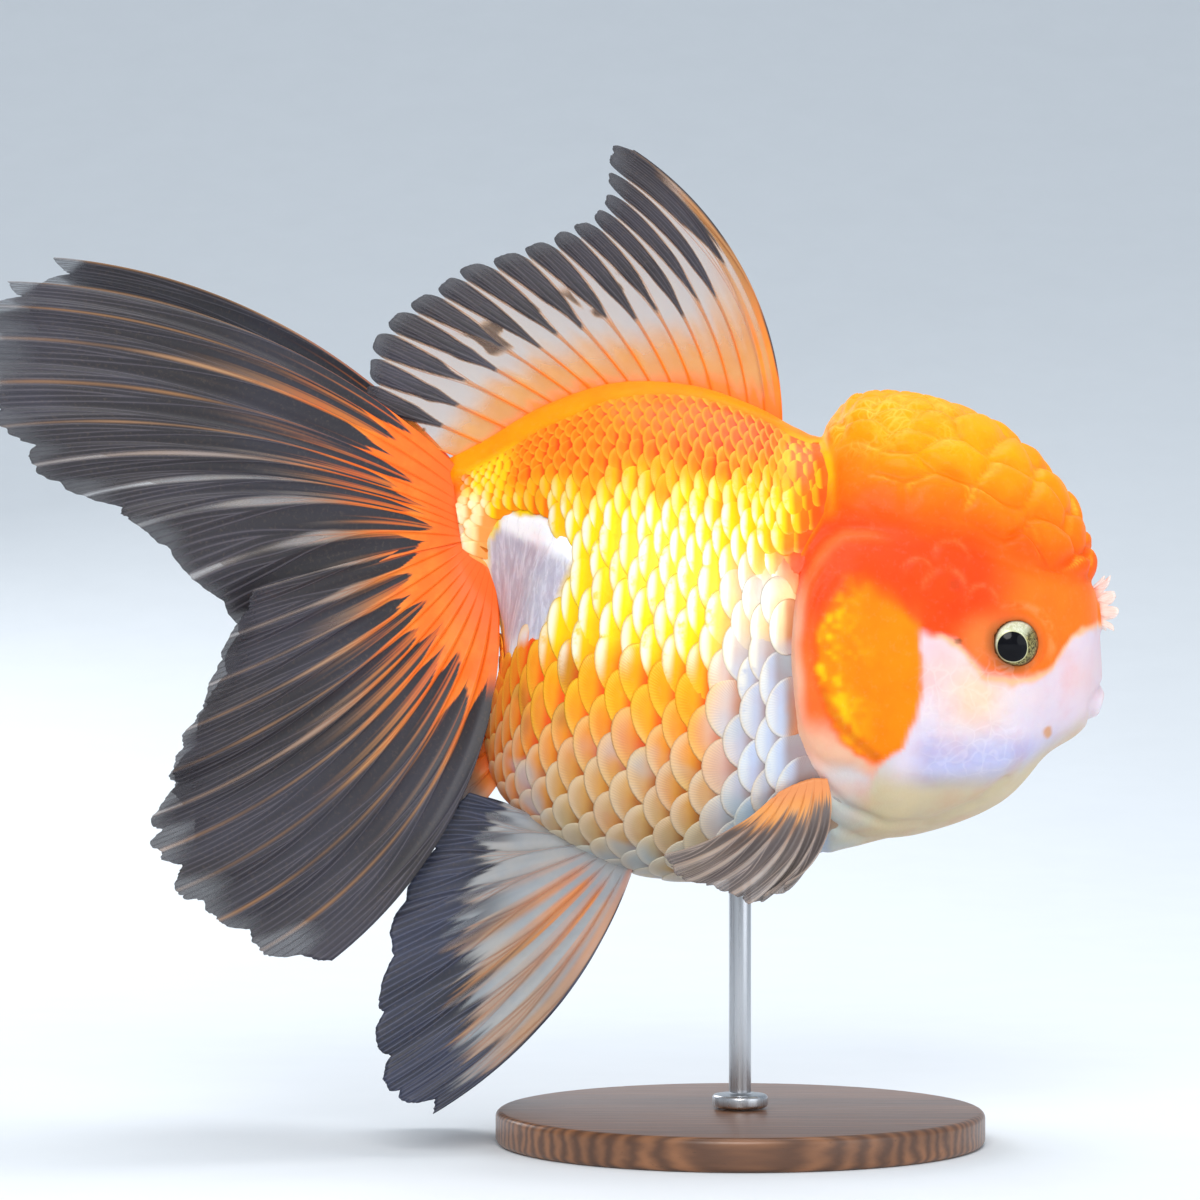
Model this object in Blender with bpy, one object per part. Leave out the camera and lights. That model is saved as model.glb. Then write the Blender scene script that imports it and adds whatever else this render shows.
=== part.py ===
"""A fancy goldfish of the hooded kind, as a life-size display model on a rod and a round base.

The fish heads along +X, its head a little lowered. Its body is one loft over named ribs, from the
tail root to the mouth, parted by thin cuts into trunk, tail root, head and hood. Every fin is a fan
of curved rays over a root line. Sizes are in millimetres and become metres where a mesh is made.
Places on the fish are measured from where the rod meets the belly, heights upward.
"""

import math

import bmesh
import bpy
import numpy as np

MM = 0.001
GAP = 0.3
RIGHT, LEFT = -1, 1
FISH_HEIGHT = 48.0

# Each rib of the body: back x, back z, belly x, belly z, half width, squareness of its oval.
RIBS = {
    "tail root": (-52.4, 74.9, -48.6, 50.8, 4.6, 2.0),
    "tail stalk": (-45.4, 78.6, -44.0, 46.0, 7.2, 2.0),
    "loin": (-35.0, 84.6, -43.6, 36.0, 12.5, 2.0),
    "vent": (-22.0, 88.6, -46.0, 23.5, 20.0, 2.1),
    "rear belly": (-8.5, 88.0, -41.4, 12.6, 25.5, 2.2),
    "belly": (2.6, 84.3, -25.0, 2.3, 29.0, 2.2),
    "shoulder": (10.0, 80.4, -8.1, -1.2, 30.0, 2.2),
    "nape": (14.6, 79.3, 7.6, 1.6, 30.0, 2.3),
    "hood rear": (21.1, 85.9, 19.8, 5.2, 29.5, 2.4),
    "crown": (32.0, 86.0, 34.0, 7.2, 28.8, 2.5),
    "brow": (44.5, 81.1, 46.6, 12.4, 26.0, 2.5),
    "forehead": (55.2, 72.6, 54.8, 21.6, 20.5, 2.4),
    "nose": (62.2, 58.6, 60.2, 25.2, 14.5, 2.3),
    "snout": (64.9, 37.6, 63.0, 28.2, 6.5, 2.1),
    "mouth": (64.0, 31.6, 63.8, 30.8, 0.6, 2.0),
}
RIB_TABLE = np.array(list(RIBS.values()))
MIDDLE_HEIGHT = 0.46  # of a rib's height, where the rib is widest
BACK_RIDGE = 0.22  # share of its width that the trunk loses towards the dorsal fin
BODY_RINGS, RING_POINTS = 32, 28

# The thin cuts, as lines in the side view: x, z from the top down or from back to front.
TAIL_CUT = ((-41.0, 100.0), (-41.6, 62.0), (-42.6, 47.4), (-60.0, 42.0))
GILL_CUT = ((13.4, 100.0), (13.2, 79.5), (8.4, 63.0), (7.0, 42.0), (8.4, 27.0), (13.0, 16.0), (19.5, -10.0))
HOOD_CUT = ((5.0, 67.0), (15.6, 65.4), (33.0, 61.4), (44.0, 58.4), (53.0, 54.4), (75.0, 53.0))

GILL_COVER = {"middle": (18.6, 40.0), "reach": (10.8, 20.2), "squareness": 2.6, "proud": 1.0, "depth": 1.8}
EYE = {"middle": (47.7, 42.0), "radius": 4.8, "proud": 2.5}
LIPS = {"middle": (62.6, 29.9), "radii": (2.6, 5.0, 3.3), "tilt": 32.0}

ROD_RADIUS = 2.0
COLLAR_RADIUS, COLLAR_HEIGHT, COLLAR_BEVEL = 5.0, 2.4, 0.7
BASE_RADIUS, BASE_HEIGHT, BASE_BEVEL = 44.0, 6.0, 1.2

# Every fin is a fan. "root" is the line of x, y, z points that the rays leave, "angle" and "chord" are
# the direction and length of a ray's chord in the side view, "turn" is how far the ray bends on its
# way, and "splay" is how far its tip stands out to the side. Each is read from the first ray to the last.
DORSAL_FIN = {
    "rays": 17,
    "root": ((7.6, 0, 79.5), (-4.5, 0, 84.8), (-18.5, 0, 86.6), (-32.0, 0, 84.0), (-49.0, 0, 74.5)),
    "angle": (120.0, 121.0, 127.0, 142.0, 154.0, 158.0),
    "chord": (61.8, 43.5, 35.6, 35.4, 33.2, 20.0),
    "turn": (63.0, 46.0, 26.0, 12.0, 6.0, 0.0),
    "splay": (0.0, 0.0),
    "ripple": (1.2, 1.0),
    "notch": 0.09,
    "ragged": 0.01,
    "thickness": (2.2, 0.7),
    "steps": 4,
}
TAIL_UPPER = {
    "rays": 10,
    "root": ((-50.6, 1.3, 73.2), (-51.0, 2.4, 67.4), (-50.6, 3.2, 63.0), (-50.0, 3.8, 59.8)),
    "angle": (158.0, 162.0, 169.0, 174.5, 180.5, 199.0),
    "chord": (85.5, 86.5, 81.5, 69.0, 53.5, 38.5),
    "turn": (44.0, 40.0, 36.0, 38.0, 42.0, 26.0),
    "splay": (18.0, 26.0, 31.0, 32.0, 27.0, 18.0),
    "ripple": (1.6, 2.5),
    "notch": 0.03,
    "ragged": 0.02,
    "thickness": (1.4, 0.6),
    "steps": 5,
}
TAIL_LOWER = {
    "rays": 11,
    "root": ((-50.2, 4.8, 57.8), (-48.8, 5.0, 54.8), (-46.4, 5.4, 51.4), (-42.8, 6.0, 47.6)),
    "angle": (201.0, 210.0, 215.0, 221.0, 230.5, 244.5),
    "chord": (35.5, 47.5, 60.5, 70.0, 72.5, 68.0),
    "turn": (6.0, -12.0, -28.0, -42.0, -52.0, -56.0),
    "splay": (19.0, 27.0, 33.0, 34.0, 30.0, 21.0),
    "ripple": (1.7, 3.0),
    "notch": 0.03,
    "ragged": 0.025,
    "thickness": (1.4, 0.6),
    "steps": 5,
}
PELVIC_FIN = {
    "rays": 9,
    "root": ((-19.4, 7.5, 1.4), (-24.4, 7.5, 4.4), (-30.0, 7.0, 8.0)),
    "angle": (230.0, 224.0, 216.0, 203.0, 184.0, 158.0),
    "chord": (54.5, 56.0, 51.0, 40.0, 28.5, 20.0),
    "turn": (-42.0, -30.0, -14.0, 0.0, 6.0, 10.0),
    "splay": (14.0, 15.0, 14.0, 10.0, 6.0, 3.0),
    "ripple": (0.9, 2.0),
    "notch": 0.035,
    "ragged": 0.02,
    "thickness": (1.8, 0.6),
    "steps": 5,
}
PECTORAL_FIN = {
    "rays": 8,
    "root": ((14.6, 26.2, 17.2), (9.8, 26.8, 16.6), (4.8, 26.6, 15.0)),
    "angle": (246.0, 240.0, 231.0, 218.0, 207.0),
    "chord": (18.6, 22.4, 22.0, 23.0, 21.5),
    "turn": (-74.0, -62.0, -50.0, -42.0, -34.0),
    "splay": (7.0, 8.5, 9.0, 9.0, 7.0),
    "ripple": (0.8, 2.5),
    "notch": 0.05,
    "ragged": 0.02,
    "thickness": (1.8, 0.6),
    "steps": 4,
}
ANAL_FIN = {
    "rays": 6,
    "root": ((-41.5, 2.8, 20.0), (-43.2, 3.0, 25.5), (-42.7, 3.0, 31.0)),
    "angle": (228.0, 216.0, 204.0, 194.0),
    "chord": (18.5, 19.0, 15.5, 11.0),
    "turn": (-26.0, -16.0, -6.0, 0.0),
    "splay": (3.5, 4.5, 4.0, 3.0),
    "ripple": (0.4, 1.5),
    "notch": 0.05,
    "ragged": 0.02,
    "thickness": (1.5, 0.6),
    "steps": 3,
}
NOSE_FLAP = {
    "rays": 4,
    "root": ((60.7, 3.4, 49.6), (61.4, 5.4, 46.4)),
    "angle": (34.0, 2.0, -32.0),
    "chord": (5.0, 4.0, 4.6),
    "turn": (30.0, 0.0, -30.0),
    "splay": (0.6, 1.6, 1.0),
    "ripple": (0.4, 1.0),
    "notch": 0.2,
    "ragged": 0.0,
    "thickness": (1.4, 0.6),
    "steps": 3,
}
# The fins in pairs, and how many degrees the left one swings off its fellow, as a living fish holds them.
PAIRED_FINS = {
    "tail_fin_upper": (TAIL_UPPER, -5.5),
    "tail_fin_lower": (TAIL_LOWER, -5.5),
    "pelvic_fin": (PELVIC_FIN, 3.0),
    "pectoral_fin": (PECTORAL_FIN, -6.0),
    "anal_fin": (ANAL_FIN, 0.0),
    "nose_flap": (NOSE_FLAP, 0.0),
}


def spline(stations, at):
    """Rows of a table read smoothly at positions from 0, the first row, to 1, the last."""
    table = np.asarray(stations, float)
    table = table.reshape(len(table), -1)
    place = np.clip(np.asarray(at, float), 0, 1) * (len(table) - 1)
    low = np.minimum(place.astype(int), len(table) - 2)
    part = (place - low)[..., None]
    slope = np.gradient(table, axis=0)
    here = table[low] * (1 + 2 * part) + slope[low] * part
    there = table[low + 1] * (3 - 2 * part) - slope[low + 1] * (1 - part)
    return here * (1 - part) ** 2 + there * part**2


def body_points(along, around, grown=0.0):
    """Points on the flesh, along it from tail root, 0, to mouth, 1, and around it by angle up from the side."""
    rib = spline(RIB_TABLE, along)
    back, belly = rib[..., 0:2], rib[..., 2:4]
    half_width, squareness = rib[..., 4], rib[..., 5]
    middle = belly + MIDDLE_HEIGHT * (back - belly)
    sine, cosine = np.sin(around), np.cos(around)
    tall = np.where((sine > 0)[..., None], back - middle, middle - belly)
    height = np.linalg.norm(tall, axis=-1)
    upright = tall / height[..., None]
    rise = np.sign(sine) * np.abs(sine) ** (2 / squareness)
    spread = np.sign(cosine) * np.abs(cosine) ** (2 / squareness)
    on_trunk = np.clip((0.5 - np.asarray(along)) * 12, 0, 1)
    ridge = 1 - BACK_RIDGE * on_trunk * np.clip(sine, 0, 1) ** 2
    side = (half_width * ridge + grown) * spread
    up = (height + grown) * rise
    flat = middle + upright * up[..., None]
    return np.stack([flat[..., 0], side, flat[..., 1]], axis=-1)


def flank(x, z):
    """Distance of the body's side from the middle plane at a place in the side view."""
    along, around = np.meshgrid(np.linspace(0, 1, 240), np.radians(np.linspace(-88, 88, 160)), indexing="ij")
    points = body_points(along, around).reshape(-1, 3)
    away = np.hypot(points[:, 0] - np.ravel(x)[:, None], points[:, 2] - np.ravel(z)[:, None])
    return points[away.argmin(axis=1), 1].reshape(np.shape(x))


def fan_points(fin, across, out, side):
    """Points of a fan: across runs over its rays, and out along each, both from 0 to 1."""
    root = spline(fin["root"], across)
    angle = np.radians(spline(fin["angle"], across)[..., 0])
    turn = np.radians(spline(fin["turn"], across)[..., 0]) + 1e-6
    arc = spline(fin["chord"], across)[..., 0] * (turn / 2) / np.sin(turn / 2)
    start = angle - turn / 2
    heading = start + turn * out
    x = root[..., 0] + arc * (np.sin(heading) - np.sin(start)) / turn
    z = root[..., 2] - arc * (np.cos(heading) - np.cos(start)) / turn
    depth, waves = fin["ripple"]
    ripple = depth * np.sin(2 * math.pi * (waves * across + 0.2 * out)) * out**2
    y = root[..., 1] + spline(fin["splay"], across)[..., 0] * out**1.3 + ripple
    return np.stack([x, side * y, z], axis=-1)


def ray_reach(fin, across):
    """How far each place across the fan reaches: full at a ray, notched between rays, a little ragged."""
    place = (fin["rays"] - 1) * across
    notch = fin["notch"] * np.sin(math.pi * place) ** 2
    ragged = fin["ragged"] * (np.sin(3.2 * place) + np.sin(1.8 * place + 1)) / 2
    return 1 - notch - ragged


def make_object(name, points, faces, material, carrier="goldfish", origin=(0, 0, 0)):
    """A mesh object from points in millimetres, its origin at a place of its own on its carrier."""
    mesh = bpy.data.meshes.new(name)
    local = (np.asarray(points, float) - np.asarray(origin, float)) * MM
    mesh.from_pydata(local.tolist(), [], faces)
    return place_mesh(name, mesh, material, carrier, origin)


def place_mesh(name, mesh, material, carrier, origin):
    """An object of a mesh, with its faces turned outward, shaded smooth and parented."""
    shaping = bmesh.new()
    shaping.from_mesh(mesh)
    bmesh.ops.recalc_face_normals(shaping, faces=shaping.faces)
    shaping.to_mesh(mesh)
    shaping.free()
    mesh.shade_smooth()
    mesh.set_sharp_from_angle(angle=math.radians(40))
    mesh.materials.append(material)
    made = bpy.data.objects.new(name, mesh)
    made.parent = bpy.data.objects[carrier]
    made.location = [c * MM for c in origin]
    bpy.context.scene.collection.objects.link(made)
    return made


def grid_faces(rows, columns, closed_round=False):
    """Quads of a grid of points, row after row."""
    faces = []
    for row in range(rows - 1):
        for column in range(columns if closed_round else columns - 1):
            here, beside = row * columns + column, row * columns + (column + 1) % columns
            faces.append((here, beside, beside + columns, here + columns))
    return faces


def as_cutter(made):
    made.hide_render = True
    made.display_type = "WIRE"
    return made


def boolean(made, operation, *cutters):
    for cutter in cutters:
        modifier = made.modifiers.new(f"{operation.title()} {cutter.name}", "BOOLEAN")
        modifier.operation = operation
        modifier.solver = "EXACT"
        modifier.object = cutter
    return made


def material(name, colour, roughness, metallic=0.0):
    made = bpy.data.materials.new(name)
    made.use_nodes = True
    shader = made.node_tree.nodes["Principled BSDF"]
    shader.inputs["Base Color"].default_value = (*colour, 1.0)
    shader.inputs["Roughness"].default_value = roughness
    shader.inputs["Metallic"].default_value = metallic
    return made


def body(name, finish, grown=0.0):
    """The whole loft from tail root to mouth, closed at both ends."""
    along = np.linspace(0, 1, BODY_RINGS)
    around = np.linspace(0, 2 * math.pi, RING_POINTS, endpoint=False)
    rings = body_points(*np.meshgrid(along, around, indexing="ij"), grown)
    rings[0, :, 0] -= grown
    rings[-1, :, 0] += grown
    faces = grid_faces(BODY_RINGS, RING_POINTS, closed_round=True)
    faces.append(tuple(range(RING_POINTS)))
    faces.append(tuple(range((BODY_RINGS - 1) * RING_POINTS, BODY_RINGS * RING_POINTS)))
    return make_object(name, rings.reshape(-1, 3), faces, finish)


def side_view_slab(name, outline, finish, half_width=60.0):
    """A prism across the fish over an outline in the side view, to keep what it holds."""
    count = len(outline)
    points = [(x, side * half_width, z) for side in (RIGHT, LEFT) for x, z in outline]
    faces = [tuple(range(count)), tuple(range(count, 2 * count))]
    faces += [(i, (i + 1) % count, count + (i + 1) % count, count + i) for i in range(count)]
    return as_cutter(make_object(name, points, faces, finish))


def moved(line, dx=0.0, dz=0.0):
    return [(x + dx, z + dz) for x, z in line]


def flesh_pieces(skin, hood_skin):
    """Trunk, tail root, head and hood, parted by cuts one gap wide."""
    half = GAP / 2
    far_back, far_front, low, high = -90.0, 90.0, -30.0, 110.0
    stalk_zone = [(far_back, high), *moved(TAIL_CUT, dx=-half, dz=half)]
    trunk_zone = [*moved(TAIL_CUT, dx=half, dz=-half), (far_back, low), (20.0, low)]
    trunk_zone += moved(reversed(GILL_CUT), dx=-half)
    front_zone = [*moved(GILL_CUT, dx=half), (far_front, -10.0), (far_front, high)]
    hood_zone = [*moved(HOOD_CUT, dz=half), (75.0, high), (5.0, high)]
    face_zone = [*moved(HOOD_CUT, dz=-half), (75.0, low), (5.0, low)]
    zones = {
        "tail_root": (skin, [stalk_zone]),
        "trunk": (skin, [trunk_zone]),
        "head": (skin, [front_zone, face_zone]),
        "hood": (hood_skin, [front_zone, hood_zone]),
    }
    made = {}
    for name, (finish, outlines) in zones.items():
        slabs = [side_view_slab(f"{name}_zone_{i}", o, finish) for i, o in enumerate(outlines)]
        made[name] = boolean(body(name, finish), "INTERSECT", *slabs)
    return made


def gill_cover(name, side, finish, swollen=0.0):
    """A round-backed plate on the cheek, that stands a little proud of the trunk behind it."""
    rings, spokes = 3, 20
    (middle_x, middle_z), (reach_x, reach_z) = GILL_COVER["middle"], GILL_COVER["reach"]
    turn = np.linspace(0, 2 * math.pi, spokes, endpoint=False)
    power = 2 / GILL_COVER["squareness"]
    out_x = np.sign(np.cos(turn)) * np.abs(np.cos(turn)) ** power * (reach_x + swollen)
    out_z = np.sign(np.sin(turn)) * np.abs(np.sin(turn)) ** power * (reach_z + swollen)
    share = np.linspace(0, 1, rings + 1)[1:, None]
    x = np.vstack([[middle_x] * spokes, middle_x + share * out_x])
    z = np.vstack([[middle_z] * spokes, middle_z + share * out_z])
    y = flank(x, z)
    level = np.linspace(0, 1, rings + 1)[:, None]
    proud = (GILL_COVER["proud"] + 4 * swollen) * (1 - 0.75 * level**5)
    depth = GILL_COVER["depth"] + swollen
    outer = np.stack([x, side * (y + proud), z], axis=-1)
    inner = np.stack([x, side * (y - depth), z], axis=-1)
    count = rings * spokes
    points = np.vstack([outer[1:].reshape(-1, 3), inner[1:].reshape(-1, 3), outer[0, :1], inner[0, :1]])
    faces = grid_faces(rings, spokes, closed_round=True)
    faces += [tuple(count + i for i in face) for face in faces]
    rim = count - spokes
    for i in range(spokes):
        n = (i + 1) % spokes
        faces.append((2 * count, i, n))
        faces.append((2 * count + 1, count + i, count + n))
        faces.append((rim + i, rim + n, count + rim + n, count + rim + i))
    return make_object(name, points, faces, finish)


def ball(name, finish, centre, radii, rotation, segments=14, rings=7):
    """A ball stretched to three radii, at its centre and turned."""
    shaping = bmesh.new()
    bmesh.ops.create_uvsphere(shaping, u_segments=segments, v_segments=rings, radius=MM)
    bmesh.ops.scale(shaping, vec=radii, verts=shaping.verts)
    mesh = bpy.data.meshes.new(name)
    shaping.to_mesh(mesh)
    shaping.free()
    made = place_mesh(name, mesh, finish, "goldfish", centre)
    made.rotation_euler = [math.radians(a) for a in rotation]
    return made


def lips(name, finish, grown=0.0):
    x, z = LIPS["middle"]
    radii = [r + grown for r in LIPS["radii"]]
    return ball(name, finish, (x, 0.0, z), radii, (0.0, LIPS["tilt"], 0.0))


def eye(name, side, finish, grown=0.0):
    """An eyeball whose poles face sideways, most of it sunk in the head."""
    x, z = EYE["middle"]
    y = flank(np.array([x]), np.array([z]))[0] + EYE["proud"] - EYE["radius"]
    return ball(name, finish, (x, side * y, z), [EYE["radius"] + grown] * 3, (90.0, 0.0, 0.0))


def fin(name, shape, side, finish, swing=0.0):
    """A fan as one thin solid, thick at the root and thin at the tips. swing turns its rays."""
    shape = {**shape, "angle": [a + swing for a in shape["angle"]]}
    columns, steps = 2 * shape["rays"] - 1, shape["steps"]
    across, out = np.meshgrid(np.linspace(0, 1, columns), np.linspace(0, 1, steps + 1), indexing="ij")
    sheet = fan_points(shape, across, out * ray_reach(shape, across), side)
    facing = np.cross(np.gradient(sheet, axis=0), np.gradient(sheet, axis=1))
    facing /= np.linalg.norm(facing, axis=-1, keepdims=True)
    thick, thin = shape["thickness"]
    half = (thin + (thick - thin) * (1 - out) ** 2)[..., None] / 2
    sheets = [(sheet + way * half * facing).reshape(-1, 3) for way in (1, -1)]
    width = steps + 1
    count = columns * width
    faces = grid_faces(columns, width)
    faces += [tuple(count + i for i in face) for face in faces]
    rim = [c * width for c in range(columns)]
    rim += [(columns - 1) * width + s for s in range(1, width)]
    rim += [c * width + steps for c in range(columns - 2, -1, -1)]
    rim += range(steps - 1, 0, -1)
    faces += [(a, b, count + b, count + a) for a, b in zip(rim, rim[1:] + rim[:1])]
    return make_object(name, np.vstack(sheets), faces, finish, origin=sheet[columns // 2, 0])


def upright_cylinder(name, radius, foot, top, finish, segments, bevel=0.0):
    """A cylinder of the stand, its upper edge softened by a bevel."""
    shaping = bmesh.new()
    height = top - foot
    bmesh.ops.create_cone(
        shaping,
        cap_ends=True,
        segments=segments,
        radius1=radius * MM,
        radius2=radius * MM,
        depth=height * MM,
    )
    if bevel:
        upper = [e for e in shaping.edges if all(v.co.z > 0 for v in e.verts)]
        bmesh.ops.bevel(shaping, geom=upper, offset=bevel * MM, segments=2, affect="EDGES", profile=0.5)
    mesh = bpy.data.meshes.new(name)
    shaping.to_mesh(mesh)
    shaping.free()
    return place_mesh(name, mesh, finish, "stand", (0.0, 0.0, foot + height / 2))


def stand(wood, steel, clearance):
    """A round base, a collar, and a rod whose top is cut to the belly."""
    collar_foot = BASE_HEIGHT + GAP
    collar_top = collar_foot + COLLAR_HEIGHT
    into_belly = 6.0
    upright_cylinder("stand_base", BASE_RADIUS, 0.0, BASE_HEIGHT, wood, 40, BASE_BEVEL)
    upright_cylinder("stand_collar", COLLAR_RADIUS, collar_foot, collar_top, steel, 20, COLLAR_BEVEL)
    rod = upright_cylinder("stand_rod", ROD_RADIUS, collar_top + GAP, FISH_HEIGHT + into_belly, steel, 16)
    boolean(rod, "DIFFERENCE", clearance)


def main():
    for old in list(bpy.data.objects):
        bpy.data.objects.remove(old)
    for carrier, height in (("goldfish", FISH_HEIGHT), ("stand", 0.0)):
        empty = bpy.data.objects.new(carrier, None)
        empty.location.z = height * MM
        bpy.context.scene.collection.objects.link(empty)

    skin = material("scaled skin", (0.95, 0.42, 0.05), 0.3)
    hood_skin = material("hood skin", (0.98, 0.30, 0.02), 0.35)
    gill_skin = material("gill cover", (0.98, 0.36, 0.02), 0.3)
    lip_skin = material("lip skin", (0.90, 0.80, 0.80), 0.35)
    dark_fin = material("dark fin", (0.08, 0.08, 0.09), 0.4)
    glassy = material("eye", (0.02, 0.02, 0.03), 0.05)
    wood = material("dark wood", (0.10, 0.05, 0.03), 0.35)
    steel = material("brushed steel", (0.6, 0.6, 0.62), 0.3, metallic=1.0)

    clearance = as_cutter(body("body_clearance", skin, grown=GAP))
    flesh = flesh_pieces(skin, hood_skin)
    lips("lips", lip_skin)
    boolean(flesh["head"], "DIFFERENCE", as_cutter(lips("lip_room", skin, grown=GAP)))

    for side, word in ((RIGHT, "right"), (LEFT, "left")):
        cover_room = as_cutter(gill_cover(f"gill_room_{word}", side, skin, swollen=GAP))
        eye_room = as_cutter(eye(f"eye_room_{word}", side, skin, grown=GAP))
        gill_cover(f"gill_cover_{word}", side, gill_skin)
        eye(f"eye_{word}", side, glassy)
        boolean(flesh["head"], "DIFFERENCE", cover_room, eye_room)
        boolean(flesh["trunk"], "DIFFERENCE", cover_room)
        for name, (shape, swing) in PAIRED_FINS.items():
            turned = fin(f"{name}_{word}", shape, side, dark_fin, swing if side == LEFT else 0.0)
            boolean(turned, "DIFFERENCE", clearance)
    boolean(fin("dorsal_fin", DORSAL_FIN, RIGHT, dark_fin), "DIFFERENCE", clearance)
    stand(wood, steel, clearance)


main()
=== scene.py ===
"""Looks of the hooded fancy goldfish model: skin, scales, fins, eyes and display stand."""

import itertools
import math

import bpy
import numpy as np
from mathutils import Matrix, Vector


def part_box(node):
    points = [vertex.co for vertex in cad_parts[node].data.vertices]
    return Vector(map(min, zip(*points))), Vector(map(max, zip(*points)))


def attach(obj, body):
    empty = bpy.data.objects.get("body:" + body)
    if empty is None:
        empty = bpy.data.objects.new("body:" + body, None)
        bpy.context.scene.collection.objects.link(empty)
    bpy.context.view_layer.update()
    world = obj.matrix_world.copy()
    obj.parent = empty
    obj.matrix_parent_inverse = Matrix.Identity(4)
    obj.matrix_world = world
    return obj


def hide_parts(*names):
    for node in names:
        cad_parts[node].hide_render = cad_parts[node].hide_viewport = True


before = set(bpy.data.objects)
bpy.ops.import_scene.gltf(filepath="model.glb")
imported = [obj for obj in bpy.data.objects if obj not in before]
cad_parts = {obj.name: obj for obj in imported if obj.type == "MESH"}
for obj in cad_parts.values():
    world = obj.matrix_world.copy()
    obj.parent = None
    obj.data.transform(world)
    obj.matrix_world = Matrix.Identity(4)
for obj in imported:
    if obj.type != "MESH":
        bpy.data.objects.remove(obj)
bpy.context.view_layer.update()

# Lengths are in millimetres in the fish's own frame, whose floor is FISH_HEIGHT above the base.
MM = 0.001
FISH_HEIGHT = 48.0
RIGHT, LEFT = -1, 1

# Cross sections of the body from the tail to the mouth:
# back x, back z, belly x, belly z, half width, squareness
RIBS = {
    "tail root": (-52.4, 74.9, -48.6, 50.8, 4.6, 2.0),
    "tail stalk": (-45.4, 78.6, -44.0, 46.0, 7.2, 2.0),
    "loin": (-35.0, 84.6, -43.6, 36.0, 12.5, 2.0),
    "vent": (-22.0, 88.6, -46.0, 23.5, 20.0, 2.1),
    "rear belly": (-8.5, 88.0, -41.4, 12.6, 25.5, 2.2),
    "belly": (2.6, 84.3, -25.0, 2.3, 29.0, 2.2),
    "shoulder": (10.0, 80.4, -8.1, -1.2, 30.0, 2.2),
    "nape": (14.6, 79.3, 7.6, 1.6, 30.0, 2.3),
    "hood rear": (21.1, 85.9, 19.8, 5.2, 29.5, 2.4),
    "crown": (32.0, 86.0, 34.0, 7.2, 28.8, 2.5),
    "brow": (44.5, 81.1, 46.6, 12.4, 26.0, 2.5),
    "forehead": (55.2, 72.6, 54.8, 21.6, 20.5, 2.4),
    "nose": (62.2, 58.6, 60.2, 25.2, 14.5, 2.3),
    "snout": (64.9, 37.6, 63.0, 28.2, 6.5, 2.1),
    "mouth": (64.0, 31.6, 63.8, 30.8, 0.6, 2.0),
}
RIB_TABLE = np.array(list(RIBS.values()))
MIDDLE_HEIGHT = 0.46
BACK_RIDGE = 0.22

# Places on the head and trunk, seen from the side: x, z
GILL_SLOT = (
    (13.4, 100), (14.2, 79), (15.4, 72), (14.6, 65), (11.6, 60), (8.8, 55), (7.2, 42), (8.4, 27),
    (13, 16), (19.5, -10),
)
HOOD_RIM = ((5, 67), (15.6, 65.4), (33, 61.4), (44, 58.4), (53, 54.4), (75, 53))
GILL_COVER = {"middle": (18.6, 40.0), "reach": (10.8, 20.2), "squareness": 2.6}
EYE = {"middle": (47.5, 42.1), "radius": 5.4, "proud": 1.15, "opening": 3.9, "skin_y": 25.2}
PUPIL = {"middle": (46.6, 41.5), "radius": 2.6}
MOUTH = {"middle": (64.0, 31.2), "half_width": 4.6, "half_height": 1.9}
FACE_BORDER = (
    (29.0, 44.6), (31.0, 44.2), (36.7, 42.2), (39.4, 38.7), (41.8, 36.2), (46.4, 35.2),
    (51.1, 36.3), (54.2, 38.4), (56.5, 41.5), (58.8, 44.2), (61.5, 45.4), (75.0, 45.8),
)
# Where the white of the face ends behind: height, x
FACE_REAR = ((18.0, 21.0), (21.5, 23.5), (24.0, 26.6), (29.0, 28.9), (33.0, 29.6), (50.0, 29.6))
SILVER_PATCH = (
    (-45.6, 60.4), (-42.6, 64.8), (-36.0, 64.2), (-30.0, 60.2), (-28.4, 57.6), (-31.5, 53.5),
    (-32.2, 48.5), (-35.2, 43.4), (-41.2, 38.6), (-43.2, 46.0), (-45.2, 53.0),
)
GILL_PLATE = (
    (20.8, 55.6), (16.6, 54.0), (13.4, 49.4), (11.7, 43.8), (11.7, 37.6), (13.2, 32.4),
    (14.6, 27.6), (18.6, 23.2), (22.6, 21.0), (26.0, 22.2), (28.7, 28.6), (29.7, 36.0),
    (29.5, 45.0), (26.6, 51.4), (24.0, 54.4),
)
GILL_CREASE = ((13.3, 34.0), (14.6, 30.8), (16.6, 28.0), (19.6, 24.9), (22.9, 22.0))
COVER_RIM = (
    (27.0, 60.0), (22.0, 60.9), (17.2, 60.8), (14.8, 59.2), (12.6, 56.3), (10.6, 52.4), (9.4, 48.4),
    (8.8, 44.0), (8.6, 38.0), (9.2, 31.0), (10.8, 24.0),
)
TEMPLE_LOBES = ((35.8, 57.0, 3.3), (34.6, 51.4, 4.0), (41.0, 49.4, 3.0), (30.0, 54.5, 2.6))
BRANCHIAL_FOLDS = (
    ((12.0, 19.0), (18.0, 13.2), (25.0, 10.0), (33.0, 9.4), (42.0, 13.2), (47.0, 17.6)),
    ((13.5, 11.0), (22.0, 6.6), (33.0, 5.4)),
)
JOWL = (
    (8.0, 19.5), (20.0, 20.0), (28.0, 18.6), (36.0, 18.0), (44.0, 18.6), (50.0, 20.8), (56.0, 25.0),
    (60.0, 28.0),
)
BACK_LINE = (
    (-52, 75), (-45, 78.6), (-35, 84.6), (-22, 88.6), (-8, 88), (3, 84.3), (10, 80.4), (15, 79),
)
NOSTRIL = {"y": 5.0, "z": 46.6}
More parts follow.
